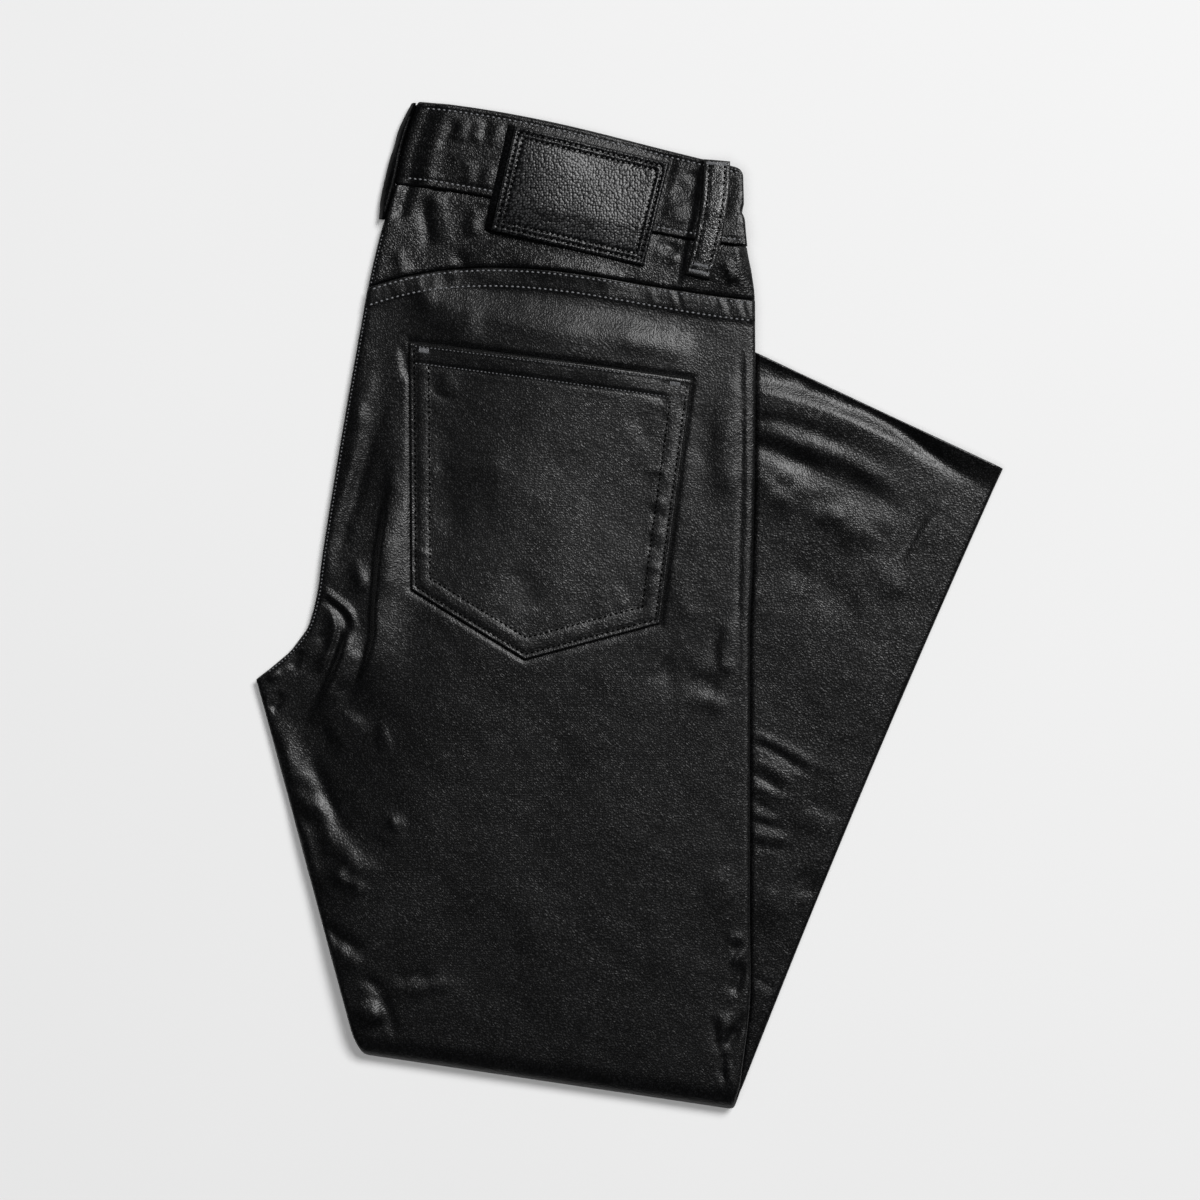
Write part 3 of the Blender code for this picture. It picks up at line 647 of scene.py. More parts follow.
def faded(relief, edge_distance):
    """Creases flatten towards a sewn edge."""
    return relief * (0.45 + 0.55 * smooth(edge_distance / (6 * MM)))


def upper_points(position, shares, level, height=STACK, relief=0.0):
    x, y = upper_plan(position, shares)
    edge = edge_distances(shares, upper_width(position))
    z = resting_height(x, y) + squeezed(level, height, edge) + relief
    return np.dstack((x, y, z))


def fold_points(angle, shares, level, relief=0.0):
    edge = edge_distances(shares, fold_width(angle))
    radius = GAP / 2 + squeezed(level, STACK, edge)
    x, y = fold_plan(angle, shares, FOLD_SLACK + FOLD_BELLY + radius)
    return np.dstack((x, y, STACK + GAP / 2 + radius * np.cos(angle) + relief))


def lower_points(position, shares, level, relief=0.0):
    x, y = lower_plan(position, shares)
    edge = edge_distances(shares, lower_width(position))
    return np.dstack((x, y, STACK - squeezed(level, STACK, edge) + relief))


# ---- meshes ----

def mesh_object(name, points, faces, made_material):
    mesh = bpy.data.meshes.new(name)
    mesh.from_pydata(points, [], faces)
    bm = bmesh.new()
    bm.from_mesh(mesh)
    bmesh.ops.recalc_face_normals(bm, faces=bm.faces)
    bm.to_mesh(mesh)
    bm.free()
    mesh.materials.append(made_material)
    mesh.shade_smooth()
    mesh.set_sharp_from_angle(angle=math.radians(SHARP_ANGLE))
    piece = bpy.data.objects.new(name, mesh)
    bpy.context.scene.collection.objects.link(piece)
    return piece


def quads(ids):
    corners = (ids[:-1, :-1], ids[:-1, 1:], ids[1:, 1:], ids[1:, :-1])
    return np.stack([corner.ravel() for corner in corners], axis=1).tolist()


def cloth_shell(name, outer, inner, made_material, step=INNER_STEP):
    """A closed thin shell: a fine outer grid, a coarser inner one over the same plan, and a rim."""
    rows, columns = outer.shape[:2]
    kept_rows = list(range(0, rows - 1, step)) + [rows - 1]
    kept_columns = list(range(0, columns - 1, step)) + [columns - 1]
    inner = inner[np.ix_(kept_rows, kept_columns)]
    outer_ids = np.arange(rows * columns).reshape(rows, columns)
    inner_ids = rows * columns + np.arange(inner.shape[0] * inner.shape[1]).reshape(inner.shape[:2])
    faces = quads(outer_ids) + quads(inner_ids)
    for row, inner_row in ((0, 0), (rows - 1, -1)):
        for j in range(len(kept_columns) - 1):
            fine = outer_ids[row, kept_columns[j]:kept_columns[j + 1] + 1].tolist()
            faces.append(fine + [int(inner_ids[inner_row, j + 1]), int(inner_ids[inner_row, j])])
    for column, inner_column in ((0, 0), (columns - 1, -1)):
        for i in range(len(kept_rows) - 1):
            fine = outer_ids[kept_rows[i]:kept_rows[i + 1] + 1, column].tolist()
            faces.append(fine + [int(inner_ids[i + 1, inner_column]), int(inner_ids[i, inner_column])])
    points = np.vstack((outer.reshape(-1, 3), inner.reshape(-1, 3)))
    return mesh_object(name, points.tolist(), faces, made_material)


# ---- materials ----

def add_node(tree, kind, inputs=(), **settings):
    made = tree.nodes.new(kind)
    for name, value in settings.items():
        setattr(made, name, value)
    for name, value in dict(inputs).items():
        if isinstance(value, bpy.types.NodeSocket):
            tree.links.new(value, made.inputs[name])
        else:
            made.inputs[name].default_value = value
    return made


def new_material(name):
    made = bpy.data.materials.new(name)
    made.use_nodes = True
    tree = made.node_tree
    place = add_node(tree, "ShaderNodeTexCoord").outputs["Object"]
    return made, tree, tree.nodes["Principled BSDF"], place


def noise_node(tree, place, size, detail=2.0, roughness=0.5):
    """Noise with features of about that size in metres."""
    made = add_node(tree, "ShaderNodeTexNoise", {"Vector": place, "Scale": 1.0 / size, "Detail": detail,
                                                 "Roughness": roughness})
    return made.outputs["Fac"]


def arithmetic(tree, operation, first, second, third=0.0):
    return add_node(tree, "ShaderNodeMath", {0: first, 1: second, 2: third}, operation=operation).outputs[0]


def ranged(tree, value, low, high, from_low=0.0, from_high=1.0):
    return add_node(tree, "ShaderNodeMapRange", {"Value": value, "From Min": from_low, "From Max": from_high,
                                                 "To Min": low, "To Max": high}).outputs["Result"]


def mixed_colour(tree, factor, first, second):
    made = add_node(tree, "ShaderNodeMix", {0: factor}, data_type="RGBA")
    made.inputs[6].default_value = first
    made.inputs[7].default_value = second
    return made.outputs[2]


def bumped(tree, height, distance=1.0, strength=1.0):
    inputs = {"Height": height, "Distance": distance, "Strength": strength}
    return add_node(tree, "ShaderNodeBump", inputs).outputs["Normal"]


def winding(tree, place, spacing):
    """Fine creases winding in every direction at about that spacing: 0 in a crease, and more between them."""
    waves = noise_node(tree, place, 0.75 * spacing, detail=0.0)
    return arithmetic(tree, "ABSOLUTE", arithmetic(tree, "MULTIPLY_ADD", waves, 4.0, -2.0), 0.0)


def coated_denim(name, gloss, grain=1.0, roughness=0.29):
    """Near-black coated denim: a semi-gloss film, finely creased, its colour painted paler between the fine
    creases and darker in them, as painted sheen and painted shade.
    """
    made, tree, shader, place = new_material(name)
    tone = noise_node(tree, place, 22 * MM, detail=3.0, roughness=0.6)
    mottle = noise_node(tree, place, 3.4 * MM, detail=2.0)
    speckle = noise_node(tree, place, 0.55 * MM, detail=1.0)
    creased = winding(tree, place, 1.6 * MM)
    # painted sheen and shade: the colour is paler between the fine creases and darker in them, times a random
    # tone
    painted_sheen = arithmetic(tree, "MULTIPLY", tone, ranged(tree, creased, 0.0, 1.9))
    tree.links.new(mixed_colour(tree, painted_sheen, (0.0001, 0.00011, 0.00015, 1.0), (0.0026, 0.0027, 0.0031, 1.0)),
                   shader.inputs["Base Color"])
    rough = ranged(tree, arithmetic(tree, "ADD", tone, speckle), roughness, roughness + 0.07, 0.6, 1.4)
    rough = arithmetic(tree, "MULTIPLY_ADD", creased, 0.08, rough)
    grazing = add_node(tree, "ShaderNodeLayerWeight").outputs["Facing"]
    dulled = arithmetic(tree, "MULTIPLY_ADD", arithmetic(tree, "MULTIPLY", grazing, grazing), 0.6, rough)
    tree.links.new(dulled, shader.inputs["Roughness"])
    shader.inputs["Specular IOR Level"].default_value = gloss
    film = arithmetic(tree, "MULTIPLY", creased, 0.062 * MM * grain)
    grains = arithmetic(tree, "MULTIPLY_ADD", speckle, 0.03 * MM * grain, film)
    height = arithmetic(tree, "MULTIPLY_ADD", mottle, 0.10 * MM * grain, grains)
    tree.links.new(bumped(tree, height), shader.inputs["Normal"])
    return made


def patch_leather():
    """Dark pebbled leather with a satin face, its pebble tops painted paler as a painted highlight, with
    painted shade between them.
    """
    made, tree, shader, place = new_material("patch_leather")
    cells = {"Vector": place, "Scale": 1.0 / (1.3 * MM), "Randomness": 0.75, "Smoothness": 0.4}
    pebbles = add_node(tree, "ShaderNodeTexVoronoi", cells, feature="SMOOTH_F1").outputs["Distance"]
    tone = noise_node(tree, place, 12 * MM, detail=3.0)
    # painted highlight on the pebble tops and painted shade between them, times a random tone
    painted_sheen = arithmetic(tree, "MULTIPLY", tone, ranged(tree, pebbles, 1.9, 0.0, 0.08, 0.5))
    tree.links.new(mixed_colour(tree, painted_sheen, (0.0020, 0.0021, 0.0024, 1.0), (0.030, 0.0305, 0.032, 1.0)),
                   shader.inputs["Base Color"])
    uneven = ranged(tree, tone, -0.015, 0.015)
    rough = arithmetic(tree, "ADD", uneven, ranged(tree, pebbles, 0.35, 0.27, 0.1, 0.6))
    tree.links.new(rough, shader.inputs["Roughness"])
    shader.inputs["Specular IOR Level"].default_value = 0.35
    domes = arithmetic(tree, "MULTIPLY", arithmetic(tree, "MULTIPLY", pebbles, pebbles), -0.20 * MM)
    fine = arithmetic(tree, "MULTIPLY", noise_node(tree, place, 0.6 * MM, detail=1.0), 0.02 * MM)
    tree.links.new(bumped(tree, arithmetic(tree, "ADD", domes, fine)), shader.inputs["Normal"])
    return made


def thread_material(name, lightness, gloss=0.5):
    """Twisted polyester topstitching thread, its colour scaled by lightness for each copy: the pale copies
    are partly its own paler tone and partly painted highlight, and the near-black copy is painted shade in
    the stitch dents.
    """
    made, tree, shader, place = new_material(name)
    strands = {"Vector": place, "Scale": 1.0 / (1.4 * MM), "Distortion": 1.5}
    twist = add_node(tree, "ShaderNodeTexWave", strands, bands_direction="DIAGONAL").outputs["Fac"]
    tone = noise_node(tree, place, 3 * MM, detail=2.0)
    shade = arithmetic(tree, "MULTIPLY", twist, ranged(tree, tone, 0.5, 1.5))
    dark = tuple(lightness * value for value in (0.020, 0.0205, 0.0215)) + (1.0,)
    pale = tuple(lightness * value for value in (0.110, 0.112, 0.118)) + (1.0,)
    tree.links.new(mixed_colour(tree, shade, dark, pale), shader.inputs["Base Color"])
    tree.links.new(ranged(tree, tone, 0.30, 0.45), shader.inputs["Roughness"])
    shader.inputs["Specular IOR Level"].default_value = gloss
    tree.links.new(bumped(tree, twist, 0.08 * MM, 0.8), shader.inputs["Normal"])
    return made


# Copies of one coated denim whose gloss is set part by part, so each part reads lighter or darker: painted
# light and shade. coated_denim_shade is a shaded copy for the belt loops lying in shade, coated_denim_loop
# and coated_denim_pocket are lit copies, and coated_denim_far has a little less gloss on the lower leg.
DENIM = coated_denim("coated_denim", gloss=0.42)
DENIM_FAR = coated_denim("coated_denim_far", gloss=0.40, roughness=0.27)
DENIM_SHADE = coated_denim("coated_denim_shade", gloss=0.12, grain=0.8)
DENIM_YOKE = coated_denim("coated_denim_yoke", gloss=0.44, grain=1.6)
DENIM_TRIM = coated_denim("coated_denim_trim", gloss=0.40, grain=1.4)
DENIM_POCKET = coated_denim("coated_denim_pocket", gloss=0.58)
DENIM_LOOP = coated_denim("coated_denim_loop", gloss=0.85, grain=1.9)
DENIM_FRONTS = coated_denim("coated_denim_fronts", gloss=0.36, grain=0.8)
LEATHER_FACE = patch_leather()
# lit and shaded copies of one thread: the pale ones stand partly for the stitches' highlights, and
# thread_dark is painted shade in the stitch dents of the pocket, patch and side loop
THREAD = thread_material("thread", 2.6)
SIDE_THREAD = thread_material("thread_side", 1.5)
DARK_THREAD = thread_material("thread_dark", 0.012, gloss=0.04)


# ---- stitching ----

def row_line(surface, points, count=160):
    """A stitch row's points in space, close together."""
    ends = np.array(points, float)
    shares = np.linspace(0.0, len(ends) - 1.0, count * (len(ends) - 1))
    u = np.interp(shares, np.arange(len(ends)), ends[:, 0])
    v = np.interp(shares, np.arange(len(ends)), ends[:, 1])
    return surface(u, v)


def stitch_places(line, pitch):
    """Middles and directions of even stitches along a line."""
    steps = np.linalg.norm(np.diff(line, axis=0), axis=1)
    lengths = np.concatenate(((0.0,), np.cumsum(steps)))
    count = max(int(lengths[-1] / pitch), 1)
    middles = (np.arange(count) + 0.5) * lengths[-1] / count
    pick = [np.interp(middles, lengths, line[:, k]) for k in range(3)]
    ahead = [np.interp(middles + 0.3 * pitch, lengths, line[:, k]) for k in range(3)]
    behind = [np.interp(middles - 0.3 * pitch, lengths, line[:, k]) for k in range(3)]
    directions = np.stack(ahead, axis=1) - np.stack(behind, axis=1)
    return np.stack(pick, axis=1), directions / np.linalg.norm(directions, axis=1)[:, None]


def stitches(name, lines, thread, length=STITCH_LENGTH, pitch=STITCH_PITCH, radius=THREAD_RADIUS):
    """One mesh of rounded stitches: short arched beads of thread that dip into the cloth at both ends."""
    sides = 6
    rings = ((-0.92, 0.4, -0.7), (-0.6, 0.85, -0.3), (0.0, 1.0, -0.05), (0.6, 0.85, -0.3), (0.92, 0.4, -0.7))
    points, faces = [], []
    for line in lines:
        for middle, direction in zip(*stitch_places(line, pitch)):
            aside = np.cross((0.0, 0.0, 1.0), direction)
            aside = aside / np.linalg.norm(aside)
            up = np.cross(direction, aside)
            first = len(points)
            for place, size, rise in rings:
                centre = middle + direction * place * length / 2 + up * rise * radius
                for k in range(sides):
                    turn = 2 * math.pi * k / sides
                    points.append(centre + size * radius * (aside * math.cos(turn) + up * math.sin(turn)))
            for ring in range(len(rings) - 1):
                for k in range(sides):
                    a, b = first + ring * sides + k, first + ring * sides + (k + 1) % sides
                    faces.append((a, b, b + sides, a + sides))
            faces.append(tuple(first + k for k in range(sides)))
            faces.append(tuple(first + (len(rings) - 1) * sides + k for k in range(sides)))
    piece = mesh_object(name, [tuple(point) for point in points], faces, thread)
    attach(piece, "root")
    return piece


def grooves(x, y, lines, depth=SEAM_GROOVE, width=SEAM_GROOVE_WIDTH):
    """The cloth pulled in along stitch rows, unevenly, with small puckers across them."""
    total = np.zeros(x.shape)
    for line in lines:
        plan = line[::12, :2]
        near = close_to(plan, x, y, 4 * MM)
        if near.any():
            distance, _, _ = nearest(plan, x[near], y[near])
            pucker = noise(x[near], y[near], 3.4 * MM, 71)
            total[near] -= depth * (1.0 + 0.5 * pucker) * np.exp(-(distance / width) ** 2)
            total[near] += 0.12 * MM * pucker * np.exp(-(distance / (3 * width)) ** 2)
    return total


# ---- the surfaces that carry stitching: each takes arrays u and v and gives points in space ----

def flat_surface(u, v, level, height):
    x, y = upper_plan(u, v)
    edge = edge_distances(v, upper_width(u))
    return x, y, resting_height(x, y) + squeezed(level, height, edge), edge


def leg_surface(u, v):
    x, y, z, edge = flat_surface(u, v, STACK, STACK)
    return np.stack((x, y, z + fell(u, x, y) + faded(upper_relief(x, y), edge)), axis=-1)


def yoke_surface(u, v):
    x, y, z, edge = flat_surface(u, v, STACK, STACK)
    return np.stack((x, y, z + faded(upper_relief(x, y), edge)), axis=-1)


def band_relief(x, y, from_roll, from_right):
    """Creases of the waistband, which slopes down to its roll at the centre back."""
    fades = (0.3 + 0.7 * smooth(from_roll / (10 * MM))) * (0.85 + 0.15 * smooth(from_right / (6 * MM)))
    rise = side_rise(x, y)
    slope = BAND_SLOPE * (1.0 - smooth(from_roll / BAND_SLOPE_LENGTH))
    return rise + (upper_relief(x, y) - rise) * fades - slope


def band_surface(u, v):
    x, y = upper_plan(u, v)
    from_right, from_roll = (1.0 - v) * upper_width(u), v * upper_width(u) - BAND_ROLL
    z = resting_height(x, y) + squeezed(BAND_STACK, BAND_STACK, from_right)
    return np.stack((x, y, z + band_relief(x, y, from_roll, from_right)), axis=-1)


def round_end(points, from_top, from_right):
    """Rounds the top corner of the waistband's right end, and draws its side in at a fold lower down."""
    beside = np.maximum(BAND_CORNER - from_right, 0.0)
    above = np.maximum(BAND_CORNER - from_top, 0.0)
    reach = np.maximum(np.hypot(beside, above), 1e-9)
    pull = np.maximum(1.0 - BAND_CORNER / reach, 0.0)
    fold = np.exp(-((from_top - NOTCH_PLACE) / (2.4 * MM)) ** 2)
    points[..., 0] -= pull * beside + BAND_NOTCH * fold * smooth(1.0 - from_right / (5 * MM))
    points[..., 1] -= pull * above


def fell(position, x, y):
    """The turned allowance along the top of a leg panel stands proud, and puckers between its stitch rows."""
    length = along(position) - along(YOKE_SEAM)
    width = along(YOKE_STITCH) - along(YOKE_SEAM)
    across = np.exp(-((length / width - 0.5) / 0.42) ** 4)
    where = sum(np.exp(-((x - middle * MM) / (half * MM)) ** 4) for middle, half in FELL_PUCKERS)
    pucker = noise(x + 0.25 * y, 0.1 * y, 2.6 * MM, 83) + 0.6 * noise(x + 0.25 * y, 0.1 * y, 5.5 * MM, 84)
    return (FELL_RISE * (1.0 - smooth((length - width + 1 * MM) / (2.5 * MM)))
            + FELL_PUCKER * (0.25 + where) * across * pucker)


def edge_row(first, last, offset):
    """Row positions and shares along the left edge, at a distance inside it."""
    positions = np.linspace(first, last, 40)
    return np.stack((positions, offset / upper_width(positions)), axis=1)


def cross_row(position, offset, first=0.012, last=0.988):
    """A row across the leg, at a distance below a seam."""
    place = shifted(position, offset)
    return ((place, first), (place, last))


BAND_ROWS = (
    row_line(band_surface, cross_row(WAIST_TOP, 3.0 * MM, 0.03), 400),
    row_line(band_surface, cross_row(WAIST_SEAM, -3.2 * MM, 0.03), 400),
)
FELL_ROWS = (
    row_line(leg_surface, cross_row(YOKE_SEAM, 1.7 * MM), 400),
    row_line(leg_surface, cross_row(YOKE_STITCH, -0.6 * MM), 400),
)
SEAT_ROWS = (row_line(leg_surface, edge_row(YOKE_STITCH, CROTCH - 0.3, 1.4 * MM), 12),)
YOKE_EDGE_ROWS = (row_line(yoke_surface, edge_row(WAIST_SEAM + 0.9, YOKE_SEAM - 0.06, 1.4 * MM), 12),)


# ---- the leg panels ----

def leg_angles(step):
    return np.radians(np.arange(step, 180.0, step))[:, None]


def make_back_leg_right():
    """The right back leg: on top from the yoke seam to the fold, round it, and on the table to the hem."""
    upper = down_rows(YOKE_SEAM, FOLD, LEG_PITCH, FOLDED_OFFSETS)[:, None]
    shares = spread(upper_width(upper[:, 0]), LEG_PITCH, gather=0.35)
    x, y = upper_plan(upper, shares)
    edge = edge_distances(shares, upper_width(upper))
    lines = FELL_ROWS + SEAT_ROWS
    shape = faded(upper_relief(x, y), edge) + fell(upper, x, y) + grooves(x, y, lines) - pocket_pull(x, y)
    top_edge = rounding(along(upper) - along(YOKE_SEAM), FOLDED_EDGE, 0.9 * MM)
    angles = leg_angles(6.0)
    fold_shares = matched(spread(fold_width(angles[:, 0]), LEG_PITCH, gather=0.35), shares.shape[1])
    lower = np.linspace(0.0, 1.0, int(HIDDEN_LENGTH / HIDDEN_PITCH))[:, None]
    lower_shares = matched(spread(lower_width(lower[:, 0]), LEG_PITCH), shares.shape[1])
    under = under_relief(*lower_plan(lower, lower_shares)) * smooth(lower / 0.05)
    faces = []
    for level, is_outer in ((STACK, True), (STACK - CLOTH, False)):
        fx, fy = fold_plan(angles, fold_shares, FOLD_SLACK + level)
        rolled = upper_relief(fx, fy) * np.maximum(np.cos(angles), 0.0) ** 2
        faces.append(np.vstack((
            upper_points(upper, shares, level, relief=shape - (top_edge if is_outer else 0.0)),
            fold_points(angles, fold_shares, level, rolled),
            lower_points(lower, lower_shares, level, under),
        )))
    return cloth_shell("back_leg_right_cloth", faces[0], faces[1], DENIM)


def matched(shares, count):
    """The same shares across each row, thinned or filled to a number of columns."""
    old = np.linspace(0.0, 1.0, shares.shape[1])
    new = np.linspace(0.0, 1.0, count)
    if len(old) == count:
        return shares
    return np.array([np.interp(new, old, row) for row in shares])


def make_back_leg_left():
    """The left back leg: under the upper stack, round the fold's inside, and on top as the flared leg."""
    lower = np.linspace(0.0, 1.0, int(FLARE_LENGTH / LEG_PITCH))
    hem = 1.0 - FOLDED_OFFSETS[::-1] / FLARE_LENGTH
    lower = np.concatenate((lower[lower < hem[0] - 0.002], hem))[:, None]
    lower_shares = spread(lower_width(lower[:, 0]), LEG_PITCH)
    count = lower_shares.shape[1]
    x, y = lower_plan(lower, lower_shares)
    edge = edge_distances(lower_shares, lower_width(lower))
    shape = faded(lower_relief(x, y), edge) - rounding((1.0 - lower) * FLARE_LENGTH, FOLDED_EDGE, 0.8 * MM)
    upper = down_rows(YOKE_SEAM, FOLD, HIDDEN_PITCH, (0.0,))[:, None]
    upper_shares = matched(spread(upper_width(upper[:, 0]), LEG_PITCH), count)
    ux, uy = upper_plan(upper, upper_shares)
    under = under_relief(ux, uy) * smooth((inseam_x(uy) - ux) / (20 * MM))
    angles = leg_angles(20.0)
    fold_shares = matched(spread(fold_width(angles[:, 0]), LEG_PITCH), count)
    faces = []
    for level in (0.0, CLOTH):
        faces.append(np.vstack((
            upper_points(upper, upper_shares, level, relief=under),
            fold_points(angles, fold_shares, level),
            lower_points(lower, lower_shares, level, shape),
        )))
    return cloth_shell("back_leg_left_cloth", faces[0], faces[1], DENIM_FAR)


# ---- the hidden fronts ----

def lip_profile(top, bottom, inward, count=9):
    """Points down the side of the fronts between two edges: two rounded lips with a groove between."""
    places = np.linspace(0.0, 1.0, count + 2)[1:-1]
    points = []
    for place in places:
        groove = INNER_GROOVE * math.exp(-((place - 0.5) / 0.09) ** 2)
        bulge = 0.35 * MM * abs(math.sin(2 * math.pi * place)) - groove
        points.append(between(top, bottom, place) - inward * bulge)
    return points


def followed(relief, share):
    """How the fronts follow the cloth over them: a little deeper in troughs, and less high in ridges."""
    return np.where(relief < 0.0, 1.1 * relief, share * relief) - 0.1 * MM


def make_inner_layers():
    """Both fronts as one closed form with two rounded lips at its sides, under all of the upper layers."""
    low, high = CLOTH + GAP, STACK - CLOTH - GAP
    band_low, band_high = BAND_CLOTH + GAP, BAND_STACK - BAND_CLOTH - GAP
    band = down_rows(shifted(WAIST_TOP, 1.5 * MM), WAIST_SEAM - 0.15, CORE_PITCH, (0.0,))
    legs = down_rows(WAIST_SEAM + 0.12, FOLD, CORE_PITCH, (0.0,))
    upper = np.concatenate((band, legs))[:, None]
    in_band = upper < WAIST_SEAM
    count = int(200 * MM / CORE_PITCH)
    even = np.linspace(0.0, 1.0, count)[None, :]
    widths = upper_width(upper)
    left = np.where(in_band, BAND_ROLL, INNER_INSET) / widths
    shares = left + (1.0 - left - INNER_INSET / widths) * even
    x, y = upper_plan(upper, shares)
    relief = faded(upper_relief(x, y), edge_distances(shares, widths)) - pocket_pull(x, y)
    relief = followed(relief, 0.55)
    under = under_relief(x, y) * smooth((inseam_x(y) - x) / (20 * MM))
    heights = np.where(in_band, BAND_STACK, STACK)
    top_levels, bottom_levels = np.where(in_band, band_high, high), np.where(in_band, band_low, low)
    angles = leg_angles(12.0)
    inset = INNER_INSET / fold_width(angles)
    fold_shares = inset + (1.0 - 2 * inset) * even
    lower = np.linspace(0.0, 1.0, int(HIDDEN_LENGTH / CORE_PITCH))[:, None]
    inset = INNER_INSET / lower_width(lower)
    lower_shares = inset + (1.0 - 2 * inset) * even
    lx, ly = lower_plan(lower, lower_shares)
    lower_top = followed(lower_relief(lx, ly) * smooth(lower / 0.05), 0.6)
    lower_under = under_relief(lx, ly) * smooth(lower / 0.05)
    outer = np.vstack((
        upper_points(upper, shares, top_levels, heights, relief),
        fold_points(angles, fold_shares, high),
        lower_points(lower, lower_shares, high, lower_under),
    ))
    inner = np.vstack((
        upper_points(upper, shares, bottom_levels, heights, under),
        fold_points(angles, fold_shares, low),
        lower_points(lower, lower_shares, low, lower_top),
    ))
    from_right = (1.0 - shares[:len(band)]) * widths[:len(band)]
    for face in (outer, inner):
        round_end(face[:len(band)], (along(band) - along(WAIST_TOP))[:, None], from_right)
    return ring_loft("fronts_cloth", outer, inner, DENIM_FRONTS)


def ring_loft(name, outer, inner, made_material):
    """A closed form through rings: the outer row, a lipped side, the inner row back, and a lipped side."""
    rings = []
    for top, bottom in zip(outer, inner):
        right = top[-1] - top[-2]
        left = top[0] - top[1]
        right_side = lip_profile(top[-1], bottom[-1], -right / np.linalg.norm(right))
        left_side = lip_profile(bottom[0], top[0], -left / np.linalg.norm(left))
        rings.append(np.vstack((top, right_side, bottom[::-1], left_side)))
    rings = np.array(rings)
    rows, around = rings.shape[:2]
    ids = np.arange(rows * around).reshape(rows, around)
    faces = quads(np.hstack((ids, ids[:, :1])))
    columns = outer.shape[1]
    side = (around - 2 * columns) // 2
    for row in (0, rows - 1):
        top_ids, bottom_ids = ids[row, :columns], ids[row, columns + side:2 * columns + side][::-1]
        for j in range(columns - 1):
            faces.append((int(top_ids[j]), int(top_ids[j + 1]), int(bottom_ids[j + 1]), int(bottom_ids[j])))
        faces.append([int(i) for i in ids[row, columns - 1:columns + side + 1]])
        faces.append([int(i) for i in ids[row, 2 * columns + side - 1:]] + [int(ids[row, 0])])
    return mesh_object(name, rings.reshape(-1, 3).tolist(), faces, made_material)


# ---- yokes and waistband ----

def make_yoke(name, is_top):
    """A yoke, tucked under the waistband and pulled down into the seam above the leg panel."""
    pitch = TRIM_PITCH if is_top else HIDDEN_PITCH
    rows = down_rows(shifted(WAIST_SEAM, 0.3 * MM), shifted(YOKE_SEAM, -0.3 * MM), pitch, (0.0,))[:, None]
    shares = spread(upper_width(rows[:, 0]), pitch)
    x, y = upper_plan(rows, shares)
    edge = edge_distances(shares, upper_width(rows))
    from_band, from_leg = along(rows) - along(WAIST_SEAM), along(YOKE_SEAM) - along(rows)
    if is_top:
        puckers = 0.3 * MM * noise(x, y, 4.2 * MM, 81) * np.exp(-from_leg / (5 * MM))
        seams = -0.5 * MM * np.exp(-(from_band / (2 * MM)) ** 2)
        seams = seams - 0.9 * MM * np.exp(-(from_leg / (1.4 * MM)) ** 2)
        shape = faded(upper_relief(x, y), edge) + puckers + seams + grooves(x, y, YOKE_EDGE_ROWS)
        levels = (STACK, STACK - CLOTH)
    else:
        shape = under_relief(x, y)
        levels = (0.0, CLOTH)
    outer, inner = (upper_points(rows, shares, level, relief=shape) for level in levels)
    return cloth_shell(name, outer, inner, DENIM_YOKE)


def make_waistband():
    """The back of the waistband, rolled round the centre back to the underside, with folded long edges."""
    length = along(WAIST_SEAM) - along(WAIST_TOP)
    offsets = np.concatenate((FOLDED_OFFSETS, np.arange(2.1 * MM, length - 2.1 * MM, TRIM_PITCH),
                              length - FOLDED_OFFSETS[::-1]))
    rows = position_at(along(WAIST_TOP) + offsets)[:, None]
    rows[-1] = shifted(WAIST_SEAM, -0.1 * MM)
    widths = upper_width(rows)
    from_ends = np.minimum(offsets, length - offsets)[:, None]
    folded = rounding(from_ends, FOLDED_EDGE, 1.1 * MM)
    top_inset = np.concatenate((EDGE_OFFSETS, np.arange(EDGE_OFFSETS[-1] + TRIM_PITCH, 155 * MM, TRIM_PITCH)))
    top_share = 1.0 - top_inset[None, :] / widths
    top_share = between(1.0, BAND_ROLL / widths, (1.0 - top_share) / (1.0 - top_share[:, -1:]))
    under_share = between(BAND_ROLL / widths, 1.0, np.linspace(0.0, 1.0, 38)[None, :])
    turns = np.radians(np.arange(80.0, -90.0, -10.0))[None, :]
    middle = BAND_STACK / 2.0
    x, y = upper_plan(rows, top_share)
    relief = band_relief(x, y, top_share * widths - BAND_ROLL, (1.0 - top_share) * widths)
    relief += BAND_EDGE * np.exp(-((offsets[:, None] - 1.7 * MM) / (1.2 * MM)) ** 2)
    relief += grooves(x, y, BAND_ROWS, depth=0.3 * MM)
    ux, uy = upper_plan(rows, under_share)
    faces = []
    for inward, drop in ((0.0, folded), (BAND_CLOTH, 0.0)):
        depth = inward + drop
        top = upper_points_one_edge(rows, top_share, BAND_STACK - depth, relief)
        inset = BAND_ROLL - (BAND_ROLL - depth) * np.cos(turns)
        rx, ry = upper_plan(rows, inset / widths)
        rz = resting_height(rx, ry) + middle + (middle - depth) * np.sin(turns)
        roll_relief = relief[:, -1:] * np.clip(np.sin(turns), 0.0, 1.0)
        under = upper_points_one_edge(rows, under_share, depth, under_relief(ux, uy))
        round_end(top, offsets[:, None], (1.0 - top_share) * widths)
        round_end(under, offsets[:, None], (1.0 - under_share) * widths)
        faces.append(np.hstack((top, np.dstack((rx, ry, rz + roll_relief)), under)))
    return cloth_shell("waistband_cloth", faces[0], faces[1], DENIM_TRIM)


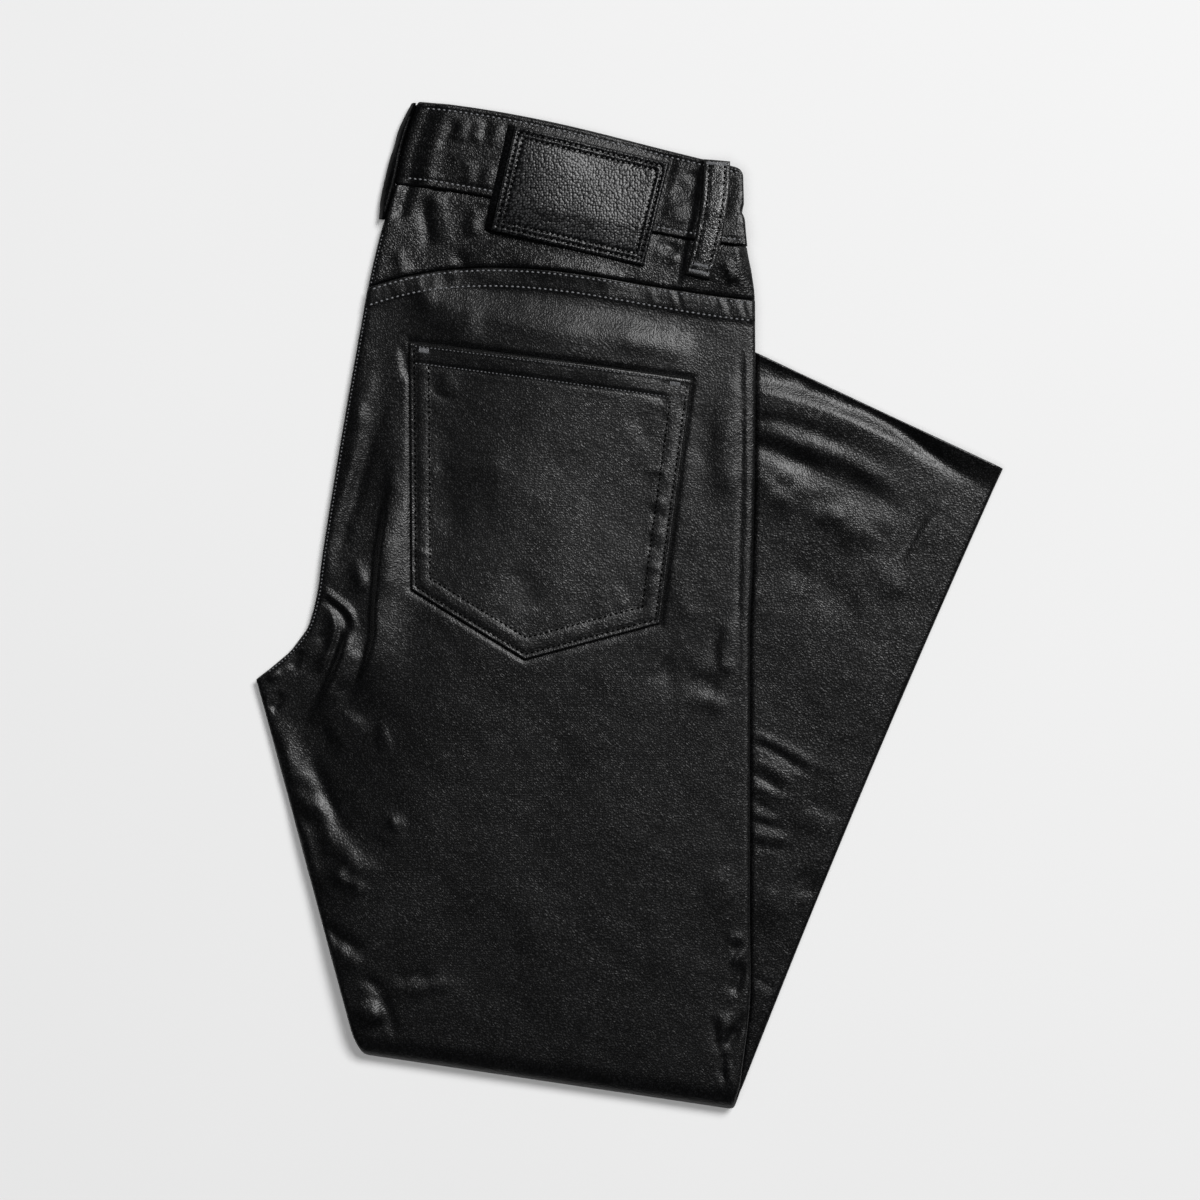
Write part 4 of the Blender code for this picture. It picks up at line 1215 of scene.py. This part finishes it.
def upper_points_one_edge(position, shares, level, relief):
    """Points of the waistband, which is rounded only at its right edge: its left one rolls round."""
    x, y = upper_plan(position, shares)
    edge = (1.0 - shares) * upper_width(position)
    z = resting_height(x, y) + squeezed(level, BAND_STACK, edge) + relief
    return np.dstack((x, y, z))


# ---- pocket ----

POCKET_TIP = (POCKET_BOTTOM[1][0] - POCKET_BOTTOM[0][0]) / (POCKET_BOTTOM[2][0] - POCKET_BOTTOM[0][0])
POCKET_ALLOWANCE = 9.5 * MM   # the folded allowance under the pocket's sides and bottom


def pocket_ends(column):
    """The top and bottom ends of a column of the pocket."""
    column = np.asarray(column, float)[..., None]
    top = between(POCKET_TOP[0], POCKET_TOP[1], column)
    left = between(POCKET_BOTTOM[0], POCKET_BOTTOM[1], column / POCKET_TIP)
    right = between(POCKET_BOTTOM[1], POCKET_BOTTOM[2], (column - POCKET_TIP) / (1.0 - POCKET_TIP))
    return top, np.where(column < POCKET_TIP, left, right)


def pocket_plan(column, row):
    top, bottom = pocket_ends(column)
    return between(top[..., 0], bottom[..., 0], row), between(top[..., 1], bottom[..., 1], row)


def pocket_insides(x, y):
    """Distances inside the pocket's top edge, and inside the nearest of its other edges."""
    corners = np.vstack((POCKET_TOP, POCKET_BOTTOM[::-1]))
    distances = []
    for i in range(5):
        start, step = corners[i], corners[(i + 1) % 5] - corners[i]
        distances.append((step[1] * (x - start[0]) - step[0] * (y - start[1])) / np.linalg.norm(step))
    return distances[0], np.minimum.reduce(distances[1:])


def pocket_height(x, y):
    """The pocket's outer face over the leg, without its rounded edges."""
    from_top, from_side = pocket_insides(x, y)
    base = resting_height(x, y) + STACK + upper_relief(x, y) + GAP + CLOTH
    hem = 0.5 * MM * (1.0 - smooth((from_top - POCKET_HEM + 1 * MM) / (1.5 * MM)))
    turned = 0.4 * MM * (1.0 - smooth((from_side - POCKET_ALLOWANCE) / (2.5 * MM)))
    mouth = 1.1 * MM * np.exp(-(from_top / (9 * MM)) ** 2) * smooth((from_side - 3 * MM) / (45 * MM))
    return base + np.maximum(hem, turned) + mouth + crease_height(x, y, POCKET_CREASES)


POCKET_CREASES = (
    (-0.4, 2.0, ((-97, 112), (-97, 106), (-92, 102.5), (-86, 103))),
    (0.4, 3.4, ((-95, 112), (-90, 110), (-86, 107))),
    (-0.5, 7.0, ((-94, 96), (-92, 70), (-90, 45), (-84, 20))),
    (0.4, 9.0, ((-72, 78), (-66, 62), (-58, 48))),
    (-0.3, 8.0, ((-60, 20), (-52, 6), (-48, -6))),
    (0.3, 8.0, ((-20, -2), (-10, 0), (0, 4))),
    (-0.3, 6.0, ((0, 98), (6, 88), (8, 76))),
    (0.35, 2.4, ((9, 51), (14, 50), (18, 50))),
    (-0.4, 2.4, ((9, 44), (14, 44), (19, 43))),
    (0.35, 2.2, ((8, 35), (13, 35), (18, 34))),
    (-0.35, 2.2, ((8, 28), (13, 28), (17, 27))),
    (0.3, 2.2, ((7, 19), (12, 18), (16, 17))),
    (0.3, 2.4, ((8, 100), (15, 98), (20, 97))),
    (0.3, 2.4, ((7, 67), (13, 66), (19, 66))),
    (0.3, 2.2, ((-108, 26), (-103, 25), (-99, 24))),
)


def pocket_surface(u, v):
    x, y = pocket_plan(u, v)
    return np.stack((x, y, pocket_height(x, y)), axis=-1)


def pocket_line(points):
    """A stitch row on the pocket through plan points in millimetres."""
    line = np.vstack([np.linspace(points[i], points[i + 1], 120) for i in range(len(points) - 1)]) * MM
    return np.column_stack((line, pocket_height(line[:, 0], line[:, 1])))


POCKET_ROWS = tuple(pocket_line(points) for points in (
    ((-107.6, 128.5), (28.3, 110.2)),
    ((-107.4, 120.0), (27.6, 101.6)),
    ((-107.5, 127.5), (-106.5, 8.4), (-52.0, -25.2), (12.8, -8.0), (28.6, 109.0)),
    ((-100.2, 119.0), (-99.4, 12.5), (-51.5, -17.0), (6.4, -1.6), (20.2, 101.5)),
))


def pocket_pull(x, y):
    """How far the leg is pulled in round the pocket's outline, and under its mouth."""
    from_top, from_side = pocket_insides(x, y)
    edge = np.minimum(from_top, from_side)
    fade = np.where(edge < 0.0, 1.5 * MM, 3.0 * MM)
    pull = POCKET_PULL * np.exp(-(edge / fade) ** 2)
    mouth = MOUTH_PULL * np.exp(-(from_top / (0.8 * fade)) ** 2) * smooth((from_side - 3 * MM) / (30 * MM))
    return np.maximum(pull, mouth)


def make_back_pocket():
    """The right back pocket: a folded-edge patch pocket with a doubled top hem that stands off a little."""
    left = POCKET_TIP * np.arange(1, 44) / 44
    right = POCKET_TIP + (1.0 - POCKET_TIP) * np.arange(0, 56) / 56
    width = np.linalg.norm(POCKET_TOP[1] - POCKET_TOP[0])
    near = FOLDED_OFFSETS / width
    inside = np.concatenate((left, right))
    inside = inside[(inside > near[-1] + 0.004) & (inside < 1.0 - near[-1] - 0.004)]
    columns = np.concatenate((near, inside, 1.0 - near[::-1]))
    top, bottom = pocket_ends(columns)
    lengths = np.linalg.norm(bottom - top, axis=1)
    rows = spread(lengths, TRIM_PITCH * 1.2, FOLDED_OFFSETS).T
    x, y = pocket_plan(columns[None, :], rows)
    from_top, from_side = pocket_insides(x, y)
    outer_z = pocket_height(x, y) + grooves(x, y, POCKET_ROWS, depth=0.4 * MM)
    outer_z += MOUTH_ROLL * np.exp(-((from_top - 1.5 * MM) / (1.0 * MM)) ** 2)
    base = resting_height(x, y) + STACK + upper_relief(x, y) + GAP - pocket_pull(x, y)
    mouth = 0.9 * (pocket_height(x, y) - base - CLOTH) * smooth((POCKET_HEM - from_top) / (6 * MM))
    inner_z = base + np.maximum(mouth - 0.5 * MM, 0.0)
    rounded = np.maximum(rounding(from_side, 0.8 * MM, 1.3 * MM), rounding(from_top, 1.7 * MM, 1.3 * MM))
    outer = np.dstack((x, y, outer_z - rounded))
    return cloth_shell("back_pocket_cloth", outer, np.dstack((x, y, inner_z)), DENIM_POCKET)


# ---- patch and belt loops ----

def strip_plan(strip, across, down):
    across, down = np.asarray(across, float)[..., None], np.asarray(down, float)[..., None]
    left, right = between(strip.top[0], strip.bottom[0], down), between(strip.top[1], strip.bottom[1], down)
    point = between(left, right, across)
    bow = strip.bow * 4.0 * down[..., 0] * (1.0 - down[..., 0])
    return point[..., 0] + bow, point[..., 1]


def over_band(x, y):
    """Height of what lies on the waistband and hangs over its seam on to the yoke."""
    left, right = upper_plan(np.array(float(WAIST_SEAM)), 0.0), upper_plan(np.array(float(WAIST_SEAM)), 1.0)
    seam_y = left[1] + (right[1] - left[1]) * (x - left[0]) / (right[0] - left[0])
    fall = np.clip((seam_y - y) / BAND_FALL, 0.0, 1.0)
    return resting_height(x, y) + BAND_STACK + 0.5 * MM - (BAND_STEP - 0.2 * MM) * fall + side_rise(x, y)


def strip_distances(strip, across, down):
    """Distances inside a strip's long and short edges."""
    x, y = strip_plan(strip, across, down)
    width = np.linalg.norm(strip.top[1] - strip.top[0])
    length = np.linalg.norm(strip.bottom[0] - strip.top[0])
    from_side = np.minimum(across, 1.0 - across) * width
    from_end = np.minimum(down, 1.0 - down) * length
    return x, y, from_side, from_end


def patch_surface(across, down):
    x, y = strip_plan(PATCH, across, down)
    lift = (LOOP_CLOTH + 0.5 * MM) * (1.0 - smooth((across - 0.10) / 0.55))
    wave = 0.25 * MM * noise(x, y, 17 * MM, 91)
    _, _, from_side, from_end = strip_distances(PATCH, across, down)
    edge = np.minimum(from_side, from_end)
    outer, inner = ((edge - 1.3 * MM) / (0.8 * MM)) ** 2, ((edge - 3.8 * MM) / (0.7 * MM)) ** 2
    border = 0.3 * MM * (np.exp(-outer) + np.exp(-inner))
    return np.stack((x, y, over_band(x, y) + lift + LEATHER + wave + border), axis=-1)


def side_loop_surface(across, down):
    x, y = strip_plan(SIDE_LOOP, across, down)
    lift = 1.2 * MM + 1.5 * MM * np.sin(np.pi * np.minimum(down / 0.75, 1.0)) ** 2
    crown = 0.55 * MM * (1.0 - (2 * across - 1.0) ** 2) + 0.22 * MM * noise(x, y, 7 * MM, 92)
    return np.stack((x, y, over_band(x, y) + lift + crown + LOOP_CLOTH), axis=-1)


def back_loop_surface(across, down):
    x, y = strip_plan(BACK_LOOP, across, down)
    fall = 0.9 * MM * np.clip(1.0 - across / 0.5, 0.0, 1.0) ** 1.5
    return np.stack((x, y, over_band(x, y) + LOOP_CLOTH - 0.1 * MM - fall), axis=-1)


PATCH_ROWS = tuple(row_line(patch_surface, points) for points in (
    ((0.032, 0.047), (0.968, 0.047), (0.968, 0.953), (0.032, 0.953), (0.032, 0.047)),
    ((0.066, 0.097), (0.934, 0.097), (0.934, 0.903), (0.066, 0.903), (0.066, 0.097)),
))
SIDE_LOOP_ROWS = tuple(row_line(side_loop_surface, points) for points in (
    ((0.2, 0.03), (0.2, 0.97)), ((0.8, 0.03), (0.8, 0.97)),
))


def make_strip(name, strip, surface, pitch, thickness, made_material, lines=()):
    width = np.linalg.norm(strip.top[1] - strip.top[0])
    length = np.linalg.norm(strip.bottom[0] - strip.top[0])
    across = spread(np.array((width,)), pitch, FOLDED_OFFSETS)
    down = spread(np.array((length,)), pitch, FOLDED_OFFSETS).T
    across, down = np.broadcast_arrays(across, down)
    x, y, from_side, from_end = strip_distances(strip, across, down)
    points = surface(across, down)
    inner = points - np.array((0.0, 0.0, thickness))
    outer = points.copy()
    outer[..., 2] -= rounding(np.minimum(from_side, from_end), FOLDED_EDGE, 0.9 * MM)
    outer[..., 2] += grooves(x, y, lines, depth=0.4 * MM, width=0.75 * MM)
    return cloth_shell(name, outer, inner, made_material, step=2)


def make_centre_loop():
    """The centre-back belt loop, folded round the waistband's roll and standing off it."""
    stations = (
        # row position, how far the loop stands off the roll in millimetres
        (0.06, 1.2), (0.35, 2.2), (0.7, 2.9), (1.1, 2.7), (1.5, 3.6), (1.95, 4.0), (2.3, 3.4), (2.62, 1.4),
    )
    positions = np.linspace(stations[0][0], stations[-1][0], 60)[:, None]
    stand_off = smooth_line(stations, 12)
    stand_off = np.interp(positions, stand_off[:, 0], stand_off[:, 1]) * MM
    turns = np.radians(np.linspace(45.0, -45.0, 17))[None, :]
    end_turn = math.radians(45.0)
    arch = (np.cos(turns) - math.cos(end_turn)) / (1.0 - math.cos(end_turn))
    middle, widths = BAND_STACK / 2.0, upper_width(positions)
    thickness = 1.3 * MM
    rib = 0.12 * MM * np.cos(8 * turns)
    faces = []
    for reach in (thickness, 0.0):
        out = GAP + stand_off * arch + (reach + (rib if reach else 0.0)) * np.cos(turns)
        x, y = upper_plan(positions, -out / widths)
        z = np.broadcast_to(middle + (middle + reach) * np.sin(turns), x.shape)
        faces.append(np.dstack((x, y, z)))
    return cloth_shell("belt_loop_centre_cloth", faces[0], faces[1], DENIM_SHADE, step=2)


def bartack(surface, first, last, half):
    """Close short stitches side by side across the line between two places of a surface."""
    line = row_line(surface, (first, last), 40)
    middles, directions = stitch_places(line, 0.62 * MM)
    lines = []
    for middle, direction in zip(middles, directions):
        aside = np.cross((0.0, 0.0, 1.0), direction) * half
        lines.append(np.array((middle - aside, middle, middle + aside)))
    return lines


def tacks(name, lines, half):
    return stitches(name, lines, THREAD, length=2 * half, pitch=2 * half, radius=TACK_RADIUS)


# ---- putting the pieces on the frame ----

def place(piece, node, flat, area=None, with_pieces=(), rests_on="fronts_cloth", slot="coated_denim"):
    """The piece rides on the root and stands for its CAD node, which is hidden."""
    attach(piece, "root")
    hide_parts(node)


def make_garment():
    right_leg = make_back_leg_right()
    left_leg = make_back_leg_left()
    fronts = make_inner_layers()
    yoke_right = make_yoke("yoke_right_cloth", True)
    yoke_left = make_yoke("yoke_left_cloth", False)
    band = make_waistband()
    pocket = make_back_pocket()
    patch = make_strip("patch_leather_face", PATCH, patch_surface, 0.65 * MM, LEATHER, LEATHER_FACE,
                       PATCH_ROWS)
    side_loop = make_strip("belt_loop_side_cloth", SIDE_LOOP, side_loop_surface, 0.8 * MM, LOOP_CLOTH,
                           DENIM_LOOP, SIDE_LOOP_ROWS)
    back_loop = make_strip("belt_loop_back_cloth", BACK_LOOP, back_loop_surface, 0.8 * MM,
                           LOOP_CLOTH - 0.1 * MM, DENIM_SHADE)
    centre_loop = make_centre_loop()

    fine = (SIDE_THREAD, SIDE_LENGTH, SIDE_PITCH, SIDE_RADIUS)
    leg_thread = stitches("stitching_leg", FELL_ROWS, THREAD)
    seat_thread = stitches("stitching_seat", SEAT_ROWS, *fine)
    yoke_thread = stitches("stitching_yoke", YOKE_EDGE_ROWS, *fine)
    band_thread = stitches("stitching_waistband", BAND_ROWS, THREAD)
    pocket_thread = stitches("stitching_pocket", POCKET_ROWS[2:], DARK_THREAD, POCKET_STITCH)
    mouth_thread = stitches("stitching_mouth", POCKET_ROWS[:2], *fine)
    patch_thread = stitches("stitching_patch", PATCH_ROWS, DARK_THREAD, radius=0.6 * MM)
    loop_thread = stitches("stitching_side_loop", SIDE_LOOP_ROWS, DARK_THREAD)
    pocket_bars = (bartack(pocket_surface, (0.034, 0.03), (0.07, 0.03), TACK_HALF)
                   + bartack(pocket_surface, (0.925, 0.028), (0.962, 0.028), TACK_HALF))
    pocket_tacks = tacks("bartacks_pocket", pocket_bars, TACK_HALF)
    loop_bars = []
    for down, inset in ((0.035, 0.12), (0.905, 0.12), (0.96, 0.1)):
        loop_bars += bartack(side_loop_surface, (inset, down), (1.0 - inset, down), LOOP_TACK_HALF)
    loop_tacks = tacks("bartacks_side_loop", loop_bars, LOOP_TACK_HALF)

    place(right_leg, "back_leg_right", (0.25, 0.775), 0.165, [leg_thread, seat_thread])
    place(left_leg, "back_leg_left", (0.25, 0.775), 0.165)
    place(fronts, "inner_layers", (0.25, 0.87), 0.185, rests_on="back_leg_left_cloth")
    place(yoke_right, "yoke_right", (0.192, 0.055), 0.0068, [yoke_thread])
    place(yoke_left, "yoke_left", (0.192, 0.055), 0.0068)
    place(band, "waistband_back", (0.345, 0.041), None, [band_thread])
    place(pocket, "back_pocket_right", (0.142, 0.155), 0.0185, [pocket_thread, mouth_thread, pocket_tacks],
          "back_leg_right_cloth")
    place(patch, "patch", (0.079, 0.054), None, [patch_thread], "waistband_cloth", "patch_leather")
    place(side_loop, "belt_loop_side", (0.013, 0.059), None, [loop_thread, loop_tacks], "waistband_cloth")
    place(back_loop, "belt_loop_back", (0.013, 0.055), rests_on="waistband_cloth")
    place(centre_loop, "belt_loop_centre", (0.013, 0.056), rests_on="waistband_cloth")


# ---- floor, light and camera ----

VIEW_CENTRE = (-14.75 * MM, 1.75 * MM)
VIEW_WIDTH = 600 * MM
CAMERA_HEIGHT = 1.5
SENSOR = 36.0


def floor_material():
    made, tree, shader, place = new_material("floor_paper")
    tone = noise_node(tree, place, 0.3, detail=2.0)
    tree.links.new(mixed_colour(tree, tone, (0.80, 0.80, 0.80, 1.0), (0.83, 0.83, 0.83, 1.0)),
                   shader.inputs["Base Color"])
    tree.links.new(bumped(tree, noise_node(tree, place, 0.8 * MM), 0.02 * MM, 0.3), shader.inputs["Normal"])
    shader.inputs["Roughness"].default_value = 0.85
    return made


def make_floor():
    size = 4.0
    mesh = bpy.data.meshes.new("floor")
    below = -0.15 * MM
    corners = [(-size, -size, below), (size, -size, below), (size, size, below), (-size, size, below)]
    mesh.from_pydata(corners, [], [(0, 1, 2, 3)])
    mesh.materials.append(floor_material())
    floor = bpy.data.objects.new("floor", mesh)
    bpy.context.scene.collection.objects.link(floor)


def make_light(name, location, target, size, power, reflected=True):
    light = bpy.data.lights.new(name, "AREA")
    light.shape = "RECTANGLE"
    light.size, light.size_y = size
    light.energy = power
    lamp = bpy.data.objects.new(name, light)
    bpy.context.scene.collection.objects.link(lamp)
    lamp.location = location
    aim = Vector(target) - Vector(location)
    lamp.rotation_euler = aim.to_track_quat("-Z", "Y").to_euler()
    lamp.visible_glossy = reflected


def make_world():
    world = bpy.data.worlds.new("studio")
    world.use_nodes = True
    world.node_tree.nodes["Background"].inputs["Color"].default_value = (0.96, 0.98, 1.0, 1.0)
    world.node_tree.nodes["Background"].inputs["Strength"].default_value = 0.03
    bpy.context.scene.world = world


def make_camera():
    camera = bpy.data.cameras.new("camera")
    camera.sensor_width = SENSOR
    camera.lens = SENSOR * (CAMERA_HEIGHT - 8 * MM) / VIEW_WIDTH
    holder = bpy.data.objects.new("camera", camera)
    bpy.context.scene.collection.objects.link(holder)
    holder.location = (*VIEW_CENTRE, CAMERA_HEIGHT)
    bpy.context.scene.camera = holder


make_garment()
make_floor()
make_light("key", (1.9, 2.3, 4.6), (0.0, 0.0, 0.0), (2.1, 1.9), 258.0)
make_light("fill", (-0.6, -0.5, 4.8), (0.0, 0.0, 0.0), (2.4, 2.4), 84.0, reflected=False)
make_world()
make_camera()
bpy.context.scene.view_settings.view_transform = "Standard"
